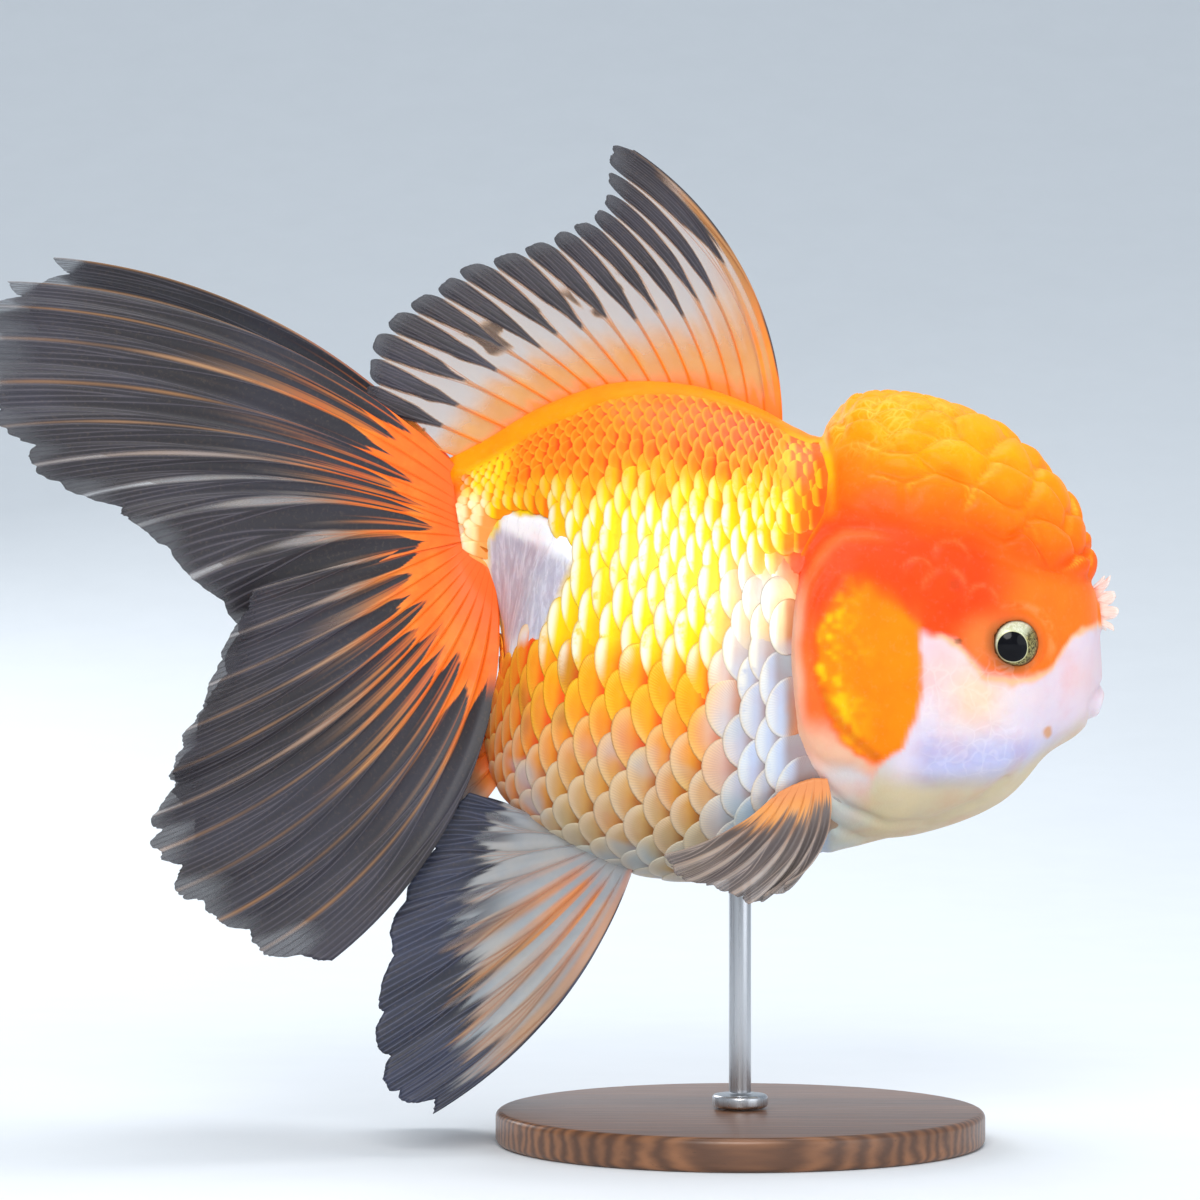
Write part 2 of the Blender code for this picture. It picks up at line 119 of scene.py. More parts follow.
# Stains on the belly and on the face: x, z, size, and on the face also the colour and its strength
BELLY_STAINS = ((-30.0, 36.8, 1.9), (-30.3, 28.8, 2.4), (-38.5, 32.0, 1.8), (-38.0, 26.0, 1.5))
FACE_STAINS = (
    (53.8, 26.2, 1.1, "tan", 0.85), (37.1, 42.6, 0.75, "smudge", 0.85), (36.5, 52.2, 1.6, "smudge", 0.35),
)

SKIN_RINGS, SKIN_POINTS = 202, 480
HEAD_STEP, TRUNK_STEP = 0.5, 1.45
SKIN_UNDER_SCALES = 0.55

# Colours, as red, green and blue from 0 to 255 on a screen. The socket and crease colours are painted
# shade, in the eye socket and along the gill crease; the lilac and throat blue colours are a painted
# bluish cast of light.
COLOURS = {
    "crown": (255, 163, 0), "hood": (255, 124, 0), "hood rim": (255, 92, 6), "temple": (255, 70, 10),
    "eye surround": (222, 122, 54), "socket": (150, 84, 36), "brow": (255, 116, 22),
    "face white": (219, 207, 221), "face pink": (232, 190, 186), "cream": (240, 212, 180),
    "lilac": (164, 174, 222), "border line": (250, 190, 120), "throat": (206, 188, 146),
    "throat blue": (176, 200, 208), "plate": (255, 134, 0), "plate glint": (255, 200, 8),
    "gill margin": (244, 106, 40), "gill low": (202, 206, 210), "gill haze": (236, 180, 150),
    "back": (250, 124, 0), "back red": (255, 88, 18), "ridge": (255, 152, 0),
    "gold": (255, 218, 0), "white gold": (255, 250, 206), "amber": (255, 166, 0),
    "deep amber": (230, 138, 18), "beige": (206, 144, 58), "silver": (184, 196, 222),
    "gill pearl": (232, 200, 160), "belly": (184, 160, 112), "blue pearl": (156, 190, 206),
    "patch white": (252, 250, 252), "patch grey": (188, 182, 196), "tail orange": (255, 106, 24),
    "cover rim": (255, 118, 56), "rear orange": (228, 128, 46), "smudge": (100, 66, 34),
    "crease": (196, 88, 8), "haze low": (228, 178, 148), "tan": (214, 150, 92),
}


def linear(colour):
    """Linear light of a screen colour."""
    part = np.asarray(colour, float) / 255
    return np.where(part <= 0.04045, part / 12.92, ((part + 0.055) / 1.055) ** 2.4)


def rgba(colour):
    """A screen colour for a shader socket."""
    return (*[float(v) for v in linear(colour)], 1.0)


# ---------------------------------------------------------------- shapes


def spline(stations, at):
    """A smooth curve through rows of numbers, read at places from 0 to 1."""
    table = np.asarray(stations, float).reshape(len(stations), -1)
    place = np.clip(np.asarray(at, float), 0, 1) * (len(table) - 1)
    low = np.minimum(place.astype(int), len(table) - 2)
    part = (place - low)[..., None]
    slope = np.gradient(table, axis=0)
    here = table[low] * (1 + 2 * part) + slope[low] * part
    there = table[low + 1] * (3 - 2 * part) - slope[low + 1] * (1 - part)
    return here * (1 - part) ** 2 + there * part**2


def body_points(along, around, grown=0.0):
    """Points on the body, from tail root 0 to mouth 1, at an angle round it: 0 left, 90 back."""
    rib = spline(RIB_TABLE, along)
    back, belly = rib[..., 0:2], rib[..., 2:4]
    half_width, squareness = rib[..., 4], rib[..., 5]
    middle = belly + MIDDLE_HEIGHT * (back - belly)
    sine, cosine = np.sin(around), np.cos(around)
    tall = np.where((sine > 0)[..., None], back - middle, middle - belly)
    height = np.linalg.norm(tall, axis=-1)
    upright = tall / height[..., None]
    rise = np.sign(sine) * np.abs(sine) ** (2 / squareness)
    spread = np.sign(cosine) * np.abs(cosine) ** (2 / squareness)
    on_trunk = np.clip((0.5 - np.asarray(along)) * 12, 0, 1)
    ridge = 1 - BACK_RIDGE * on_trunk * np.clip(sine, 0, 1) ** 2
    side = (half_width * ridge + grown) * spread
    up = (height + grown) * rise
    flat = middle + upright * up[..., None]
    return np.stack([flat[..., 0], side, flat[..., 1]], axis=-1)


def ramp(value, low, high):
    """Rises smoothly from 0 at low to 1 at high."""
    part = np.clip((np.asarray(value, float) - low) / (high - low), 0, 1)
    return part * part * (3 - 2 * part)


def hill(value, middle, width):
    """A soft hill of height 1."""
    return np.exp(-(((value - middle) / width) ** 2))


def cell_number(cell, seed):
    """A fixed number from 0 to 1 for each whole-number cell."""
    mixed = (cell * np.array([127.1, 311.7, 74.7])).sum(-1) + seed * 19.19
    return np.modf(np.abs(np.sin(mixed) * 43758.5453))[0]


def soft_noise(points, size, seed=0):
    """Smooth noise from -1 to 1 whose lumps are about as large as size."""
    place = np.asarray(points, float) / size
    low = np.floor(place)
    part = place - low
    part = part * part * (3 - 2 * part)
    total = 0.0
    for corner in itertools.product((0, 1), repeat=3):
        corner = np.array(corner)
        weight = np.prod(np.where(corner == 1, part, 1 - part), axis=-1)
        total = total + weight * cell_number(low + corner, seed)
    return 2 * total - 1


def signed_distance(flat, corners):
    """Distance in the side view to the edge of a closed outline, above 0 inside it."""
    corners = np.asarray(corners, float)
    closest = np.full(flat.shape[:-1], 1e9)
    inside = np.zeros(flat.shape[:-1], bool)
    for start, end in zip(corners, np.roll(corners, -1, axis=0)):
        edge = end - start
        reach = flat - start
        part = np.clip((reach @ edge) / (edge @ edge), 0, 1)
        gap = np.linalg.norm(reach - part[..., None] * edge, axis=-1)
        closest = np.minimum(closest, gap)
        crosses = (start[1] > flat[..., 1]) != (end[1] > flat[..., 1])
        rise = np.where(abs(edge[1]) < 1e-9, 1e-9, edge[1])
        at = start[0] + (flat[..., 1] - start[1]) * edge[0] / rise
        inside ^= crosses & (flat[..., 0] < at)
    return np.where(inside, closest, -closest)


def line_distance(flat, corners):
    """Distance in the side view to an open line."""
    corners = np.asarray(corners, float)
    closest = np.full(flat.shape[:-1], 1e9)
    for start, end in zip(corners[:-1], corners[1:]):
        edge = end - start
        reach = flat - start
        part = np.clip((reach @ edge) / (edge @ edge), 0, 1)
        closest = np.minimum(closest, np.linalg.norm(reach - part[..., None] * edge, axis=-1))
    return closest


def scatter(points, spacing, seed):
    """Picks points of a cloud so that no two are nearer than their spacing."""
    order = np.random.default_rng(seed).permutation(len(points))
    kept, reach = np.empty((0, 3)), np.empty(0)
    for index in order:
        gap = np.linalg.norm(kept - points[index], axis=1)
        if not len(kept) or (gap > (reach + spacing[index]) / 2).all():
            kept = np.vstack([kept, points[index]])
            reach = np.append(reach, spacing[index])
    return kept, reach


def nearest_two(points, seeds):
    """Distances from points to the nearest and second nearest seed, and the nearest's index."""
    first, second, which = [], [], []
    for start in range(0, len(points), 4096):
        gap = np.linalg.norm(points[start : start + 4096, None] - seeds[None], axis=-1)
        order = np.argpartition(gap, 1, axis=1)[:, :2]
        pair = np.take_along_axis(gap, order, axis=1)
        swap = pair[:, 0] > pair[:, 1]
        which.append(np.where(swap, order[:, 1], order[:, 0]))
        first.append(pair.min(axis=1))
        second.append(pair.max(axis=1))
    return np.concatenate(first), np.concatenate(second), np.concatenate(which)


def new_piece(name, points, faces, material, corner_uv=None, attributes=None):
    """A smooth-shaded piece that rides on the model, from points in millimetres."""
    mesh = bpy.data.meshes.new(name)
    placed = (np.asarray(points, float) + (0, 0, FISH_HEIGHT)) * MM
    mesh.vertices.add(len(placed))
    mesh.vertices.foreach_set("co", placed.astype(np.float32).ravel())
    corners = np.concatenate([f.ravel() for f in faces]).astype(np.int32)
    sizes = np.concatenate([np.full(len(f), f.shape[1]) for f in faces])
    mesh.loops.add(len(corners))
    mesh.loops.foreach_set("vertex_index", corners)
    mesh.polygons.add(len(sizes))
    mesh.polygons.foreach_set("loop_start", (np.cumsum(sizes) - sizes).astype(np.int32))
    mesh.polygons.foreach_set("use_smooth", np.ones(len(sizes), bool))
    mesh.update(calc_edges=True)
    if corner_uv is not None:
        layer = mesh.uv_layers.new(name="OFBake")
        layer.data.foreach_set("uv", corner_uv.astype(np.float32).ravel())
    for key, values in (attributes or {}).items():
        kind = "FLOAT" if values.ndim == 1 else "FLOAT_VECTOR"
        field = "value" if values.ndim == 1 else "vector"
        data = mesh.attributes.new(key, kind, "POINT").data
        data.foreach_set(field, values.astype(np.float32).ravel())
    mesh.materials.append(material)
    piece = bpy.data.objects.new(name, mesh)
    bpy.context.collection.objects.link(piece)
    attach(piece, "root")
    return piece


def grid_faces(rows, columns, wrap=False):
    """Four-cornered faces of a grid of points stored row by row."""
    row = np.arange(rows - 1)[:, None]
    column = np.arange(columns if wrap else columns - 1)[None, :]
    following = (column + 1) % columns
    low, high = row * columns, (row + 1) * columns
    return np.stack(
        [low + column, low + following, high + following, high + column], axis=-1
    ).reshape(-1, 4)


# ---------------------------------------------------------------- markings


def blend(tint, name, mask):
    """A tint changed towards a named colour by a mask."""
    return tint + (linear(COLOURS[name]) - tint) * np.clip(mask, 0, 1)[..., None]


def line_at(line, x):
    """Second number of a line of places, read at a first number."""
    return np.interp(x, [p[0] for p in line], [p[1] for p in line])


def slot_line(z):
    """Where the gill slot and the hood's rear edge lie along the body at a height."""
    return line_at([(high, along) for along, high in GILL_SLOT[::-1]], z)


def along_ridge(points):
    """1 on the smooth band under the dorsal fin and 0 below it."""
    top = line_at(BACK_LINE, points[..., 0])
    half = np.abs(points[..., 1])
    return (1 - ramp(top - points[..., 2], 3.0, 5.2)) * (1 - ramp(half, 6, 9))


def trunk_markings(points, wander, fine):
    """Colour of the trunk from the back down, with a painted highlight over the gold middle of the flank;
    how shiny it is and how golden its rims are.
    """
    x, z = points[..., 0], points[..., 2]
    flat = points[..., [0, 2]]
    # the gold middle of the flank, partly its own gold and partly painted highlight; it also makes the
    # scales shinier there, so their painted crescents show
    gold_and_highlight = ramp(66.0 + 1.5 * wander - z, 0, 3) * ramp(z, 33, 42)
    gold_and_highlight *= ramp(x + 2 * wander, -38, -31) * ramp(7 + 2 * wander - x, 0, 8)
    yellow_back = ramp(76.0 + 5 * wander - z, 0, 10) * ramp(z, 40, 46)
    tint = np.broadcast_to(linear(COLOURS["back"]), points.shape).copy()
    tint = blend(tint, "back red", hill(x, 0, 14) * ramp(z + 2 * wander, 71, 77) * 0.9)
    tint = blend(tint, "gold", yellow_back * 0.92)
    tint = blend(tint, "gold", ramp(x + 2 * wander, 5, 12) * ramp(z, 58, 64) * 0.8)
    tint = blend(tint, "gold", ramp(-x + 2 * wander, 38, 44) * ramp(z, 58, 64) * 0.95)
    tint = blend(tint, "gold", gold_and_highlight)
    tint = blend(tint, "amber", ramp(43 - z + 3 * wander, 0, 7))
    tint = blend(tint, "deep amber", ramp(33 - z + 3 * wander, 0, 8))
    tint = blend(tint, "beige", ramp(25 - z + 3 * wander, 0, 7))
    tint = blend(tint, "belly", ramp(15 - z + 3 * wander, 0, 8) * 0.9)
    tint = blend(tint, "blue pearl", ramp(10 - z, 0, 9) * ramp(wander, -0.3, 0.8) * 0.8)
    near_gill = ramp(x + 1.5 * wander, -7, 1.5) * ramp(61 - z + 3 * wander, 0, 8)
    tint = blend(tint, "gill pearl", near_gill * 0.85)
    tint = blend(tint, "silver", near_gill * ramp(46 - z + 2 * wander, 0, 9))
    tint = blend(tint, "blue pearl", near_gill * ramp(22 - z, 0, 10) * 0.5)
    rear = ramp(-x - 31 + 2 * wander, 0, 9) * ramp(44 - z + 2 * wander, 0, 8)
    tint = blend(tint, "rear orange", rear * 0.8)
    for middle, height, size in BELLY_STAINS:
        gap = np.hypot(x - middle, (z - height) * 0.7) + 0.8 * fine
        tint = blend(tint, "smudge", 0.45 * (1 - ramp(gap, 0.2 * size, 1.1 * size)))
    patch = signed_distance(flat, SILVER_PATCH) + 0.9 * fine + 0.6 * wander
    on_patch = ramp(patch, -0.8, 0.8)
    tint = blend(tint, "patch grey", on_patch)
    top = z + 0.45 * (x + 36)
    tint = blend(tint, "patch white", on_patch * ramp(top + 0.8 * fine, 57.5, 60.5))
    tint = blend(tint, "patch white", on_patch * ramp(45 - z + 2 * wander, 0, 5) * 0.6)
    tint = blend(tint, "tail orange", ramp(-x - 47.5 + wander, 0, 2.5))
    behind = ramp(-x - 44.5, 0, 1) * ramp(z, 52, 56) * ramp(70 - z, 0, 3) * ramp(x, -51.5, -49.5)
    tint = blend(tint, "white gold", behind * 0.7)
    nape = ramp(x - slot_line(z) + 1.5 * wander, -6.0, -0.8) * ramp(z, 50, 58)
    tint = blend(tint, "hood", nape * 0.8)
    tint = blend(tint, "crown", nape * ramp(z, 63, 70))
    tint = blend(tint, "gold", nape * ramp(z, 68, 74) * 0.5)
    by_slot = ramp(x - slot_line(z), -2.6, 0.0) * ramp(72 - z, 0, 6)
    tint = blend(tint, "hood rim", nape * by_slot * 0.8)
    ridge = along_ridge(points)
    tint = blend(tint, "ridge", ridge)
    shine = 0.3 + 0.7 * gold_and_highlight + 0.35 * near_gill + 0.35 * yellow_back
    shine = np.clip(shine * (1 - 0.6 * on_patch) * (1 - 0.7 * ridge) * (1 - 0.6 * nape), 0, 1)
    golden = ramp(z + 4 * wander, 14, 32) * (1 - near_gill * 0.9)
    golden = np.maximum(golden, nape)
    return tint, shine, golden


def hood_markings(points, wander):
    """Colour of the hood, paler gold at the top and red below its rim."""
    x, z = points[..., 0], points[..., 2]
    over = z - line_at(HOOD_RIM, x)
    tint = np.broadcast_to(linear(COLOURS["temple"]), points.shape)
    tint = blend(tint, "brow", ramp(x + wander, 40, 52))
    tint = blend(tint, "hood rim", ramp(over + 0.8 * wander, -3.5, 2.5))
    tint = blend(tint, "hood", ramp(over + wander, 1, 9))
    tint = blend(tint, "crown", ramp(over + 1.5 * wander, 7, 17) * (1 - 0.5 * ramp(x, 44, 58)))
    nape = ramp(17.5 - x, 0, 3.5) * ramp(z, 62, 68)
    return blend(blend(tint, "crown", nape * 0.7), "gold", nape * ramp(z, 70, 76) * 0.45)


def gill_markings(face, points, wander, fine):
    """The orange gill plate inside a margin that fades to a pale haze, with painted shade along its
    crease.
    """
    x, z, flat = points[..., 0], points[..., 2], points[..., [0, 2]]
    plate = signed_distance(flat, GILL_PLATE) + 0.4 * fine
    region = ramp(line_at(FACE_REAR, z) - x + 0.4 * fine, -1.7, 0.1) * ramp(z, 13, 21)
    low = ramp(50 - z + 1.5 * wander, 0, 8)
    away = ramp(x - slot_line(z) + 0.5 * wander, 3.2, 0.4)
    face = blend(face, "gill margin", region * low * ramp(-plate, -0.6, 0.6) * 0.9)
    on_rim = hill(line_distance(flat, COVER_RIM), 0, 1.3) * ramp(z, 40, 50) * ramp(28 - x, 0, 8)
    face = blend(face, "cover rim", on_rim * 0.6)
    face = blend(face, "haze low", region * ramp(31 - z + wander, 0, 7) * ramp(-plate, -0.8, 1.0))
    face = blend(face, "gill haze", region * ramp(57 - z + wander, 0, 12) * away)
    face = blend(face, "gill low", region * ramp(24 - z + 1.2 * wander, 0, 6) * ramp(-plate, 0.6, 3.2))
    forward = 1.6 * ramp(x, 22, 27) * ramp(52 - z, 0, 8)
    on_plate = ramp(plate + forward, -0.4, 1.3 + 6.5 * ramp(z, 42, 56)) * region
    face = blend(face, "plate", on_plate)
    speck = soft_noise(points, 0.9, 9)
    glint = hill(plate, 2.4, 2.2) * ramp(23 - x, 0, 7) * ramp(wander + fine + 0.8 * speck, -0.7, 0.9)
    glint = np.maximum(glint, 0.5 * ramp(wander + 0.4 * speck, 0.0, 1.0) * ramp(24 - x, 0, 6))
    glint = np.maximum(glint, 0.7 * ramp(27 - z + speck, 0, 3) * ramp(20 - x, 0, 4))
    face = blend(face, "plate glint", on_plate * glint)
    # painted shade: a dark line along the crease of the gill cover
    crease = line_distance(flat, GILL_CREASE) + 0.15 * fine
    return blend(face, "crease", 0.6 * (1 - ramp(crease, 0.2, 1.7))), on_plate


def face_markings(points, wander, fine):
    """Colour of the head: hood, white face, throat, eye surround with painted shade in its socket, and
    gill cover; and the plate.
    """
    x, z = points[..., 0], points[..., 2]
    face = hood_markings(points, wander)
    around_eye = np.hypot(x - EYE["middle"][0], z - EYE["middle"][1])
    behind_eye = np.hypot((x - 44.0) / 1.3, z - 41.0)
    face = blend(face, "eye surround", (1 - ramp(behind_eye + wander, 2.5, 8.5)) * 0.85)
    below = line_at(FACE_BORDER, x) - z + 0.5 * fine + 0.3 * wander
    beside = x - line_at(FACE_REAR, z) - 0.3 * wander
    edge = np.maximum(np.minimum(below, beside), 20.0 - z + 0.6 * wander)
    soft = 0.5 + 1.6 * hill(x, 43, 7)
    white = ramp(edge, -soft, 0.6 + soft)
    face = blend(face, "face white", white)
    veil = hill(x, 40, 6) * hill(z, 33, 7)
    face = blend(face, "cream", white * np.clip(veil + 0.3 * wander * veil, 0, 1) * 0.9)
    blush = hill(x, 32.5, 5) * hill(z, 39, 6) + 0.8 * hill(x, 58, 7) * hill(z, 36, 8)
    face = blend(face, "face pink", white * blush * (0.7 + 0.4 * wander))
    # painted light: a bluish-lilac cast over the lower part of the white face
    face = blend(face, "lilac", white * ramp(30 - z + 3 * wander, 0, 9) * ramp(x, 27, 33) * 0.66)
    face = blend(face, "border line", hill(edge, 0.3, 0.5) * ramp(x, 31, 35) * 0.6)
    face = blend(face, "gill low", white * ramp(28 - x, 0, 5) * ramp(26 - z, 0, 3))
    under = line_at(JOWL, x) - z + 0.8 * wander
    throat = ramp(under, -3.0, 3.4) * ramp(x, 10, 17) * 0.9
    face = blend(face, "throat", throat)
    # painted light: a bluish cast over the throat's own pale colour
    face = blend(face, "throat blue", throat * ramp(24 - x + 2 * wander, 0, 8) * 0.7)
    for middle, height, size, name, strength in FACE_STAINS:
        gap = np.hypot(x - middle, z - height) + 0.4 * fine
        face = blend(face, name, strength * (1 - ramp(gap, 0.4 * size, size * 1.15)))
    # painted shade in the sunken socket round the eye, darker to its lower rear
    lower_rear = 0.55 + 0.45 * ramp((EYE["middle"][0] - x) + (EYE["middle"][1] - z), -2, 4)
    face = blend(face, "socket", lower_rear * (1 - ramp(around_eye + 0.4 * fine, 3.6, 6.4)))
    return gill_markings(face, points, wander, fine)


def markings(points):
    """Colour of the skin and of the scales, how shiny they are and how golden their rims are."""
    x, z = points[..., 0], points[..., 2]
    wander = soft_noise(points, 4.5, 3)
    fine = soft_noise(points, 1.8, 5)
    head = ramp(x - slot_line(z) + 0.4 * fine, -0.7, 0.7)
    tint, shine, golden = trunk_markings(points, wander, fine)
    face, on_plate = face_markings(points, wander, fine)
    tint = tint + (face - tint) * head[..., None]
    shine = shine * (1 - head) + head * on_plate * 0.3
    return tint, shine, golden


# ---------------------------------------------------------------- skin


def even_angles(rings, sweep, shares):
    """Angles round each ring at equal shares of its own length."""
    loops = body_points(rings[:, None], sweep)
    stride = np.linalg.norm(np.diff(loops, axis=1), axis=-1)
    length = np.concatenate([np.zeros((len(rings), 1)), np.cumsum(stride, axis=1)], axis=1)
    return np.stack([np.interp(shares * row[-1], row, sweep) for row in length])


def skin_places():
    """Where the skin's rings lie along the body, and its points round each ring."""
    fine = np.linspace(0, 1, 1500)
    sides = np.radians([90, 40, 0, -40, -90])
    path = body_points(fine[:, None], sides)
    step = np.linalg.norm(np.diff(path, axis=0), axis=-1).max(axis=1)
    spacing = TRUNK_STEP + (HEAD_STEP - TRUNK_STEP) * ramp(path[:-1, 2, 0], 2, 9)
    travel = np.concatenate([[0], np.cumsum(step / spacing)])
    rings = np.interp(np.linspace(0, travel[-1], SKIN_RINGS), travel, fine)
    sweep = np.linspace(-math.pi / 2, 3 * math.pi / 2, 2881)
    return rings, even_angles(rings, sweep, np.arange(SKIN_POINTS) / SKIN_POINTS)


def grid_normals(points):
    """Outward normals of a closed grid whose rows go round the body."""
    across = np.roll(points, -1, axis=1) - np.roll(points, 1, axis=1)
    forward = np.gradient(points, axis=0)
    normal = np.cross(across, forward)
    return normal / np.maximum(np.linalg.norm(normal, axis=-1, keepdims=True), 1e-9)


def wen_relief(points, mask):
    """Raspberry-like lobes of the hood: their height, and the creases between them, which carry a pale
    line along each lobe's upper edge, partly its own outline and partly painted highlight, and a painted
    shade along its lower edge.
    """
    height, crease = np.zeros(len(points)), np.zeros(len(points))
    bend = np.stack([soft_noise(points, 6.5, 51 + k) for k in range(3)], axis=-1)
    stretched = (points + 1.5 * bend) * (1.0, 1.15, 1.5)
    on_hood = np.flatnonzero(mask > 0.01)
    cloud = on_hood[:: max(1, len(on_hood) // 5000)]
    x, z = points[cloud, 0], points[cloud, 2]
    size = 8.8 - 5.2 * ramp(z, 76, 82) * ramp(40 - x, 0, 12)
    size = size + 1.6 * soft_noise(points[cloud], 9, 61)
    seeds, reach = scatter(stretched[cloud], size, 4)
    first, second, which = nearest_two(stretched[on_hood], seeds)
    edge = np.sqrt((second - first) ** 2 + 0.35) - 0.35**0.5
    scale = reach[which]
    dome = 1 - (1 - np.clip(edge / (0.75 * scale), 0, 1)) ** 2
    above = (stretched[on_hood] - seeds[which])[:, 2] / scale
    small_seeds, _ = scatter(stretched[cloud], np.full(len(cloud), 2.6), 9)
    near, far, _ = nearest_two(stretched[on_hood], small_seeds)
    grain = 1 - (1 - np.clip((far - near) / 1.6, 0, 1)) ** 2
    place = points[on_hood]
    lobed = ramp(place[:, 2] + 0.75 * place[:, 0] + 4 * soft_noise(place, 8, 64), 88, 98)
    granular = ramp(place[:, 2], 76, 81) * ramp(38 - place[:, 0], 0, 10)
    height[on_hood] = (0.03 + 0.15 * np.maximum(lobed, granular)) * scale * (dome - 0.5)
    height[on_hood] += 0.16 * lobed * scale * above * ramp(edge, 0, 1.2)
    height[on_hood] += (0.04 + 0.06 * granular) * (grain - 0.5)
    shown = ramp(soft_noise(place, 5, 63), -0.5, 0.5) * lobed
    # painted highlight on the upper edge of each lobe, partly its own pale outline; painted shade on its
    # lower edge
    arc = hill(edge, 1.0, 0.46 + 0.02 * scale) * shown * ramp(above, -0.15, 0.3)
    shade = hill(edge, 0.0, 0.9) * ramp(-above, -0.1, 0.35) * lobed
    crease[on_hood] = (arc - 0.9 * shade) * (1 - granular)
    return (height + 0.5 * soft_noise(points, 11, 7)) * mask, crease * mask


class Head:
    """Places on the head, and the masks that its forms share."""

    def __init__(self, points):
        self.points = points
        self.x, self.y, self.z = points[:, 0], np.abs(points[:, 1]), points[:, 2]
        self.flat = points[:, [0, 2]]
        self.slot = slot_line(self.z)
        self.over = self.z - line_at(HOOD_RIM, self.x) - 0.7 * soft_noise(points, 7, 21)
        self.forward = ramp(self.x, 28, 40)
        soft = 1.6 * (1 - self.forward)
        self.hood = ramp(self.over, -0.4 - soft, 0.5 + soft) * ramp(self.x - self.slot, 0.2, 2.4)
        self.bare = 1 - self.hood


def hood_form(head):
    """The hood's lobes, its rounded rim over a groove, its rear edge, and its creases."""
    over = head.over
    lobes, crease = wen_relief(head.points, head.hood * (1 - 0.35 * hill(over, 0, 2)))
    height = lobes + 0.5 * head.hood
    height -= (0.3 + 0.6 * head.forward) * np.exp(-np.clip(over, 0, None) / 1.6) * head.hood
    height -= (0.12 + 0.4 * head.forward) * hill(over, -0.9, 1.1) * ramp(head.x, 15, 20)
    rear = (0.7 - 0.4 * ramp(head.z, 66, 74)) * hill(head.x - head.slot, 0.4, 1.0)
    return height - rear * ramp(over, -1, 3), crease


def cover_size(x, z):
    """Below 1 on the gill cover and above 1 outside it."""
    side = np.abs(x - GILL_COVER["middle"][0]) / GILL_COVER["reach"][0]
    up = np.abs(z - GILL_COVER["middle"][1]) / GILL_COVER["reach"][1]
    power = GILL_COVER["squareness"]
    return (side**power + up**power) ** (1 / power)


def gill_form(head):
    """The gill cover: plate, crease, lined margin and rim, the step behind it and the folds below."""
    x, z, flat, slot = head.x, head.z, head.flat, head.slot
    outside = (cover_size(x, z) - 1) * GILL_COVER["reach"][0]
    behind = ramp(24 - x, 0, 8)
    raised = (1 - ramp(outside, -1.6, 0.3)) * (1 - 0.6 * ramp(z, 50, 60))
    height = raised * (0.05 + 0.9 * behind) * head.bare
    height -= 0.9 * hill(x - slot, -0.1, 0.8) * ramp(60 - z, 0, 6) * ramp(z, 4, 12)
    plate = signed_distance(flat, GILL_PLATE)
    height += 0.3 * ramp(plate, -0.8, 1.2) * behind
    height -= 0.35 * hill(line_distance(flat, GILL_CREASE), 0, 1.3)
    on_margin = (1 - ramp(plate, -1.5, 0)) * ramp(16 - x, 0, 4) * ramp(x - slot, 0, 1)
    striae = np.sin(2 * math.pi * (outside * 0.9 + 0.3 * soft_noise(head.points, 6, 31)))
    height += 0.09 * striae * on_margin * head.bare * ramp(62 - z, 0, 6)
    rim = 0.4 * hill(line_distance(flat, COVER_RIM), 0, 1.1)
    rim -= 0.45 * hill(line_distance(flat + (1.3, -1.2), COVER_RIM), 0, 0.9)
    height += rim * head.bare * ramp(z, 26, 40) * ramp(28 - x, 0, 8)
    folds = sum(hill(line_distance(flat, fold), 0, 0.8) for fold in BRANCHIAL_FOLDS)
    return height - 0.65 * folds * ramp(23 - z, 0, 3)


def cheek_form(head):
    """Cheek, temple lobes, jowl and chin; the lobes' upper edges, where a pale line is painted, partly
    their own outline and partly painted highlight; and where the network shows.
    """
    x, z, bare = head.x, head.z, head.bare
    cheek = ramp(x, 29, 32) * bare * ramp(z, 16, 22) * (1 - 0.8 * ramp(x, 52, 60))
    cloud = np.flatnonzero(cheek > 0.5)
    cloud = head.points[cloud[:: max(1, len(cloud) // 4000)]]
    seeds, _ = scatter(cloud, 2.2 + 1.6 * ramp(cloud[:, 2], 28, 42), 12)
    bent = head.points + 0.5 * soft_noise(head.points, 3, 65)[:, None]
    near, far, _ = nearest_two(bent, seeds)
    low_cheek = 0.2 + 0.8 * ramp(40 - z, 0, 8) * ramp(52 - x, 0, 8)
    height = cheek * low_cheek * 0.16 * ramp(far - near, 0, 1.6)
    temple = np.zeros(len(x))
    for middle, level, size in TEMPLE_LOBES:
        gap = np.hypot(x - middle, z - level) / size
        height += 0.11 * size * (1 - ramp(gap, 0.55, 1.05)) * bare
        # painted highlight: a pale line on the upper half of each temple lobe's edge, partly its own
        # outline
        temple = np.maximum(temple, hill(gap, 0.92, 0.14) * ramp(z - level, -1.5, 1.5) * bare)
    under = line_at(JOWL, x) - z
    height -= 0.9 * ramp(under, -1.6, 2.8) * ramp(x, 24, 34) * ramp(58 - x, 0, 8)
    height += 0.6 * hill(x, 50, 7) * hill(z, 18, 5) * ramp(14 - head.y, 0, 8)
    web = cheek * ramp(42 - z, 0, 6) * ramp(52 - x, 0, 8)
    return height, temple, web * ramp(soft_noise(head.points, 6, 67), -0.7, 0.5)


def eye_form(head):
    """The eye's socket, its thin lid and the folds in front of it, and the folds' pale lines."""
    ahead, up = head.x - EYE["middle"][0], head.z - EYE["middle"][1]
    reach, opening = np.hypot(ahead, up), EYE["opening"]
    at_side = ramp(head.y, 8, 14)
    in_front = ramp(ahead + 0.5 * up, -1, 3)
    height = 0.22 * hill(reach, opening + 0.75, 0.55) - 0.45 * (1 - ramp(reach, opening, 8.5))
    height -= 3.4 * (1 - ramp(reach, opening - 0.75, opening + 0.15))
    height += (0.3 * hill(reach, 7.2, 0.7) - 0.35 * hill(reach, 6.2, 0.5)) * in_front
    return height * at_side, at_side * in_front * hill(reach, 6.7, 0.55) * ramp(head.z, 38, 42)


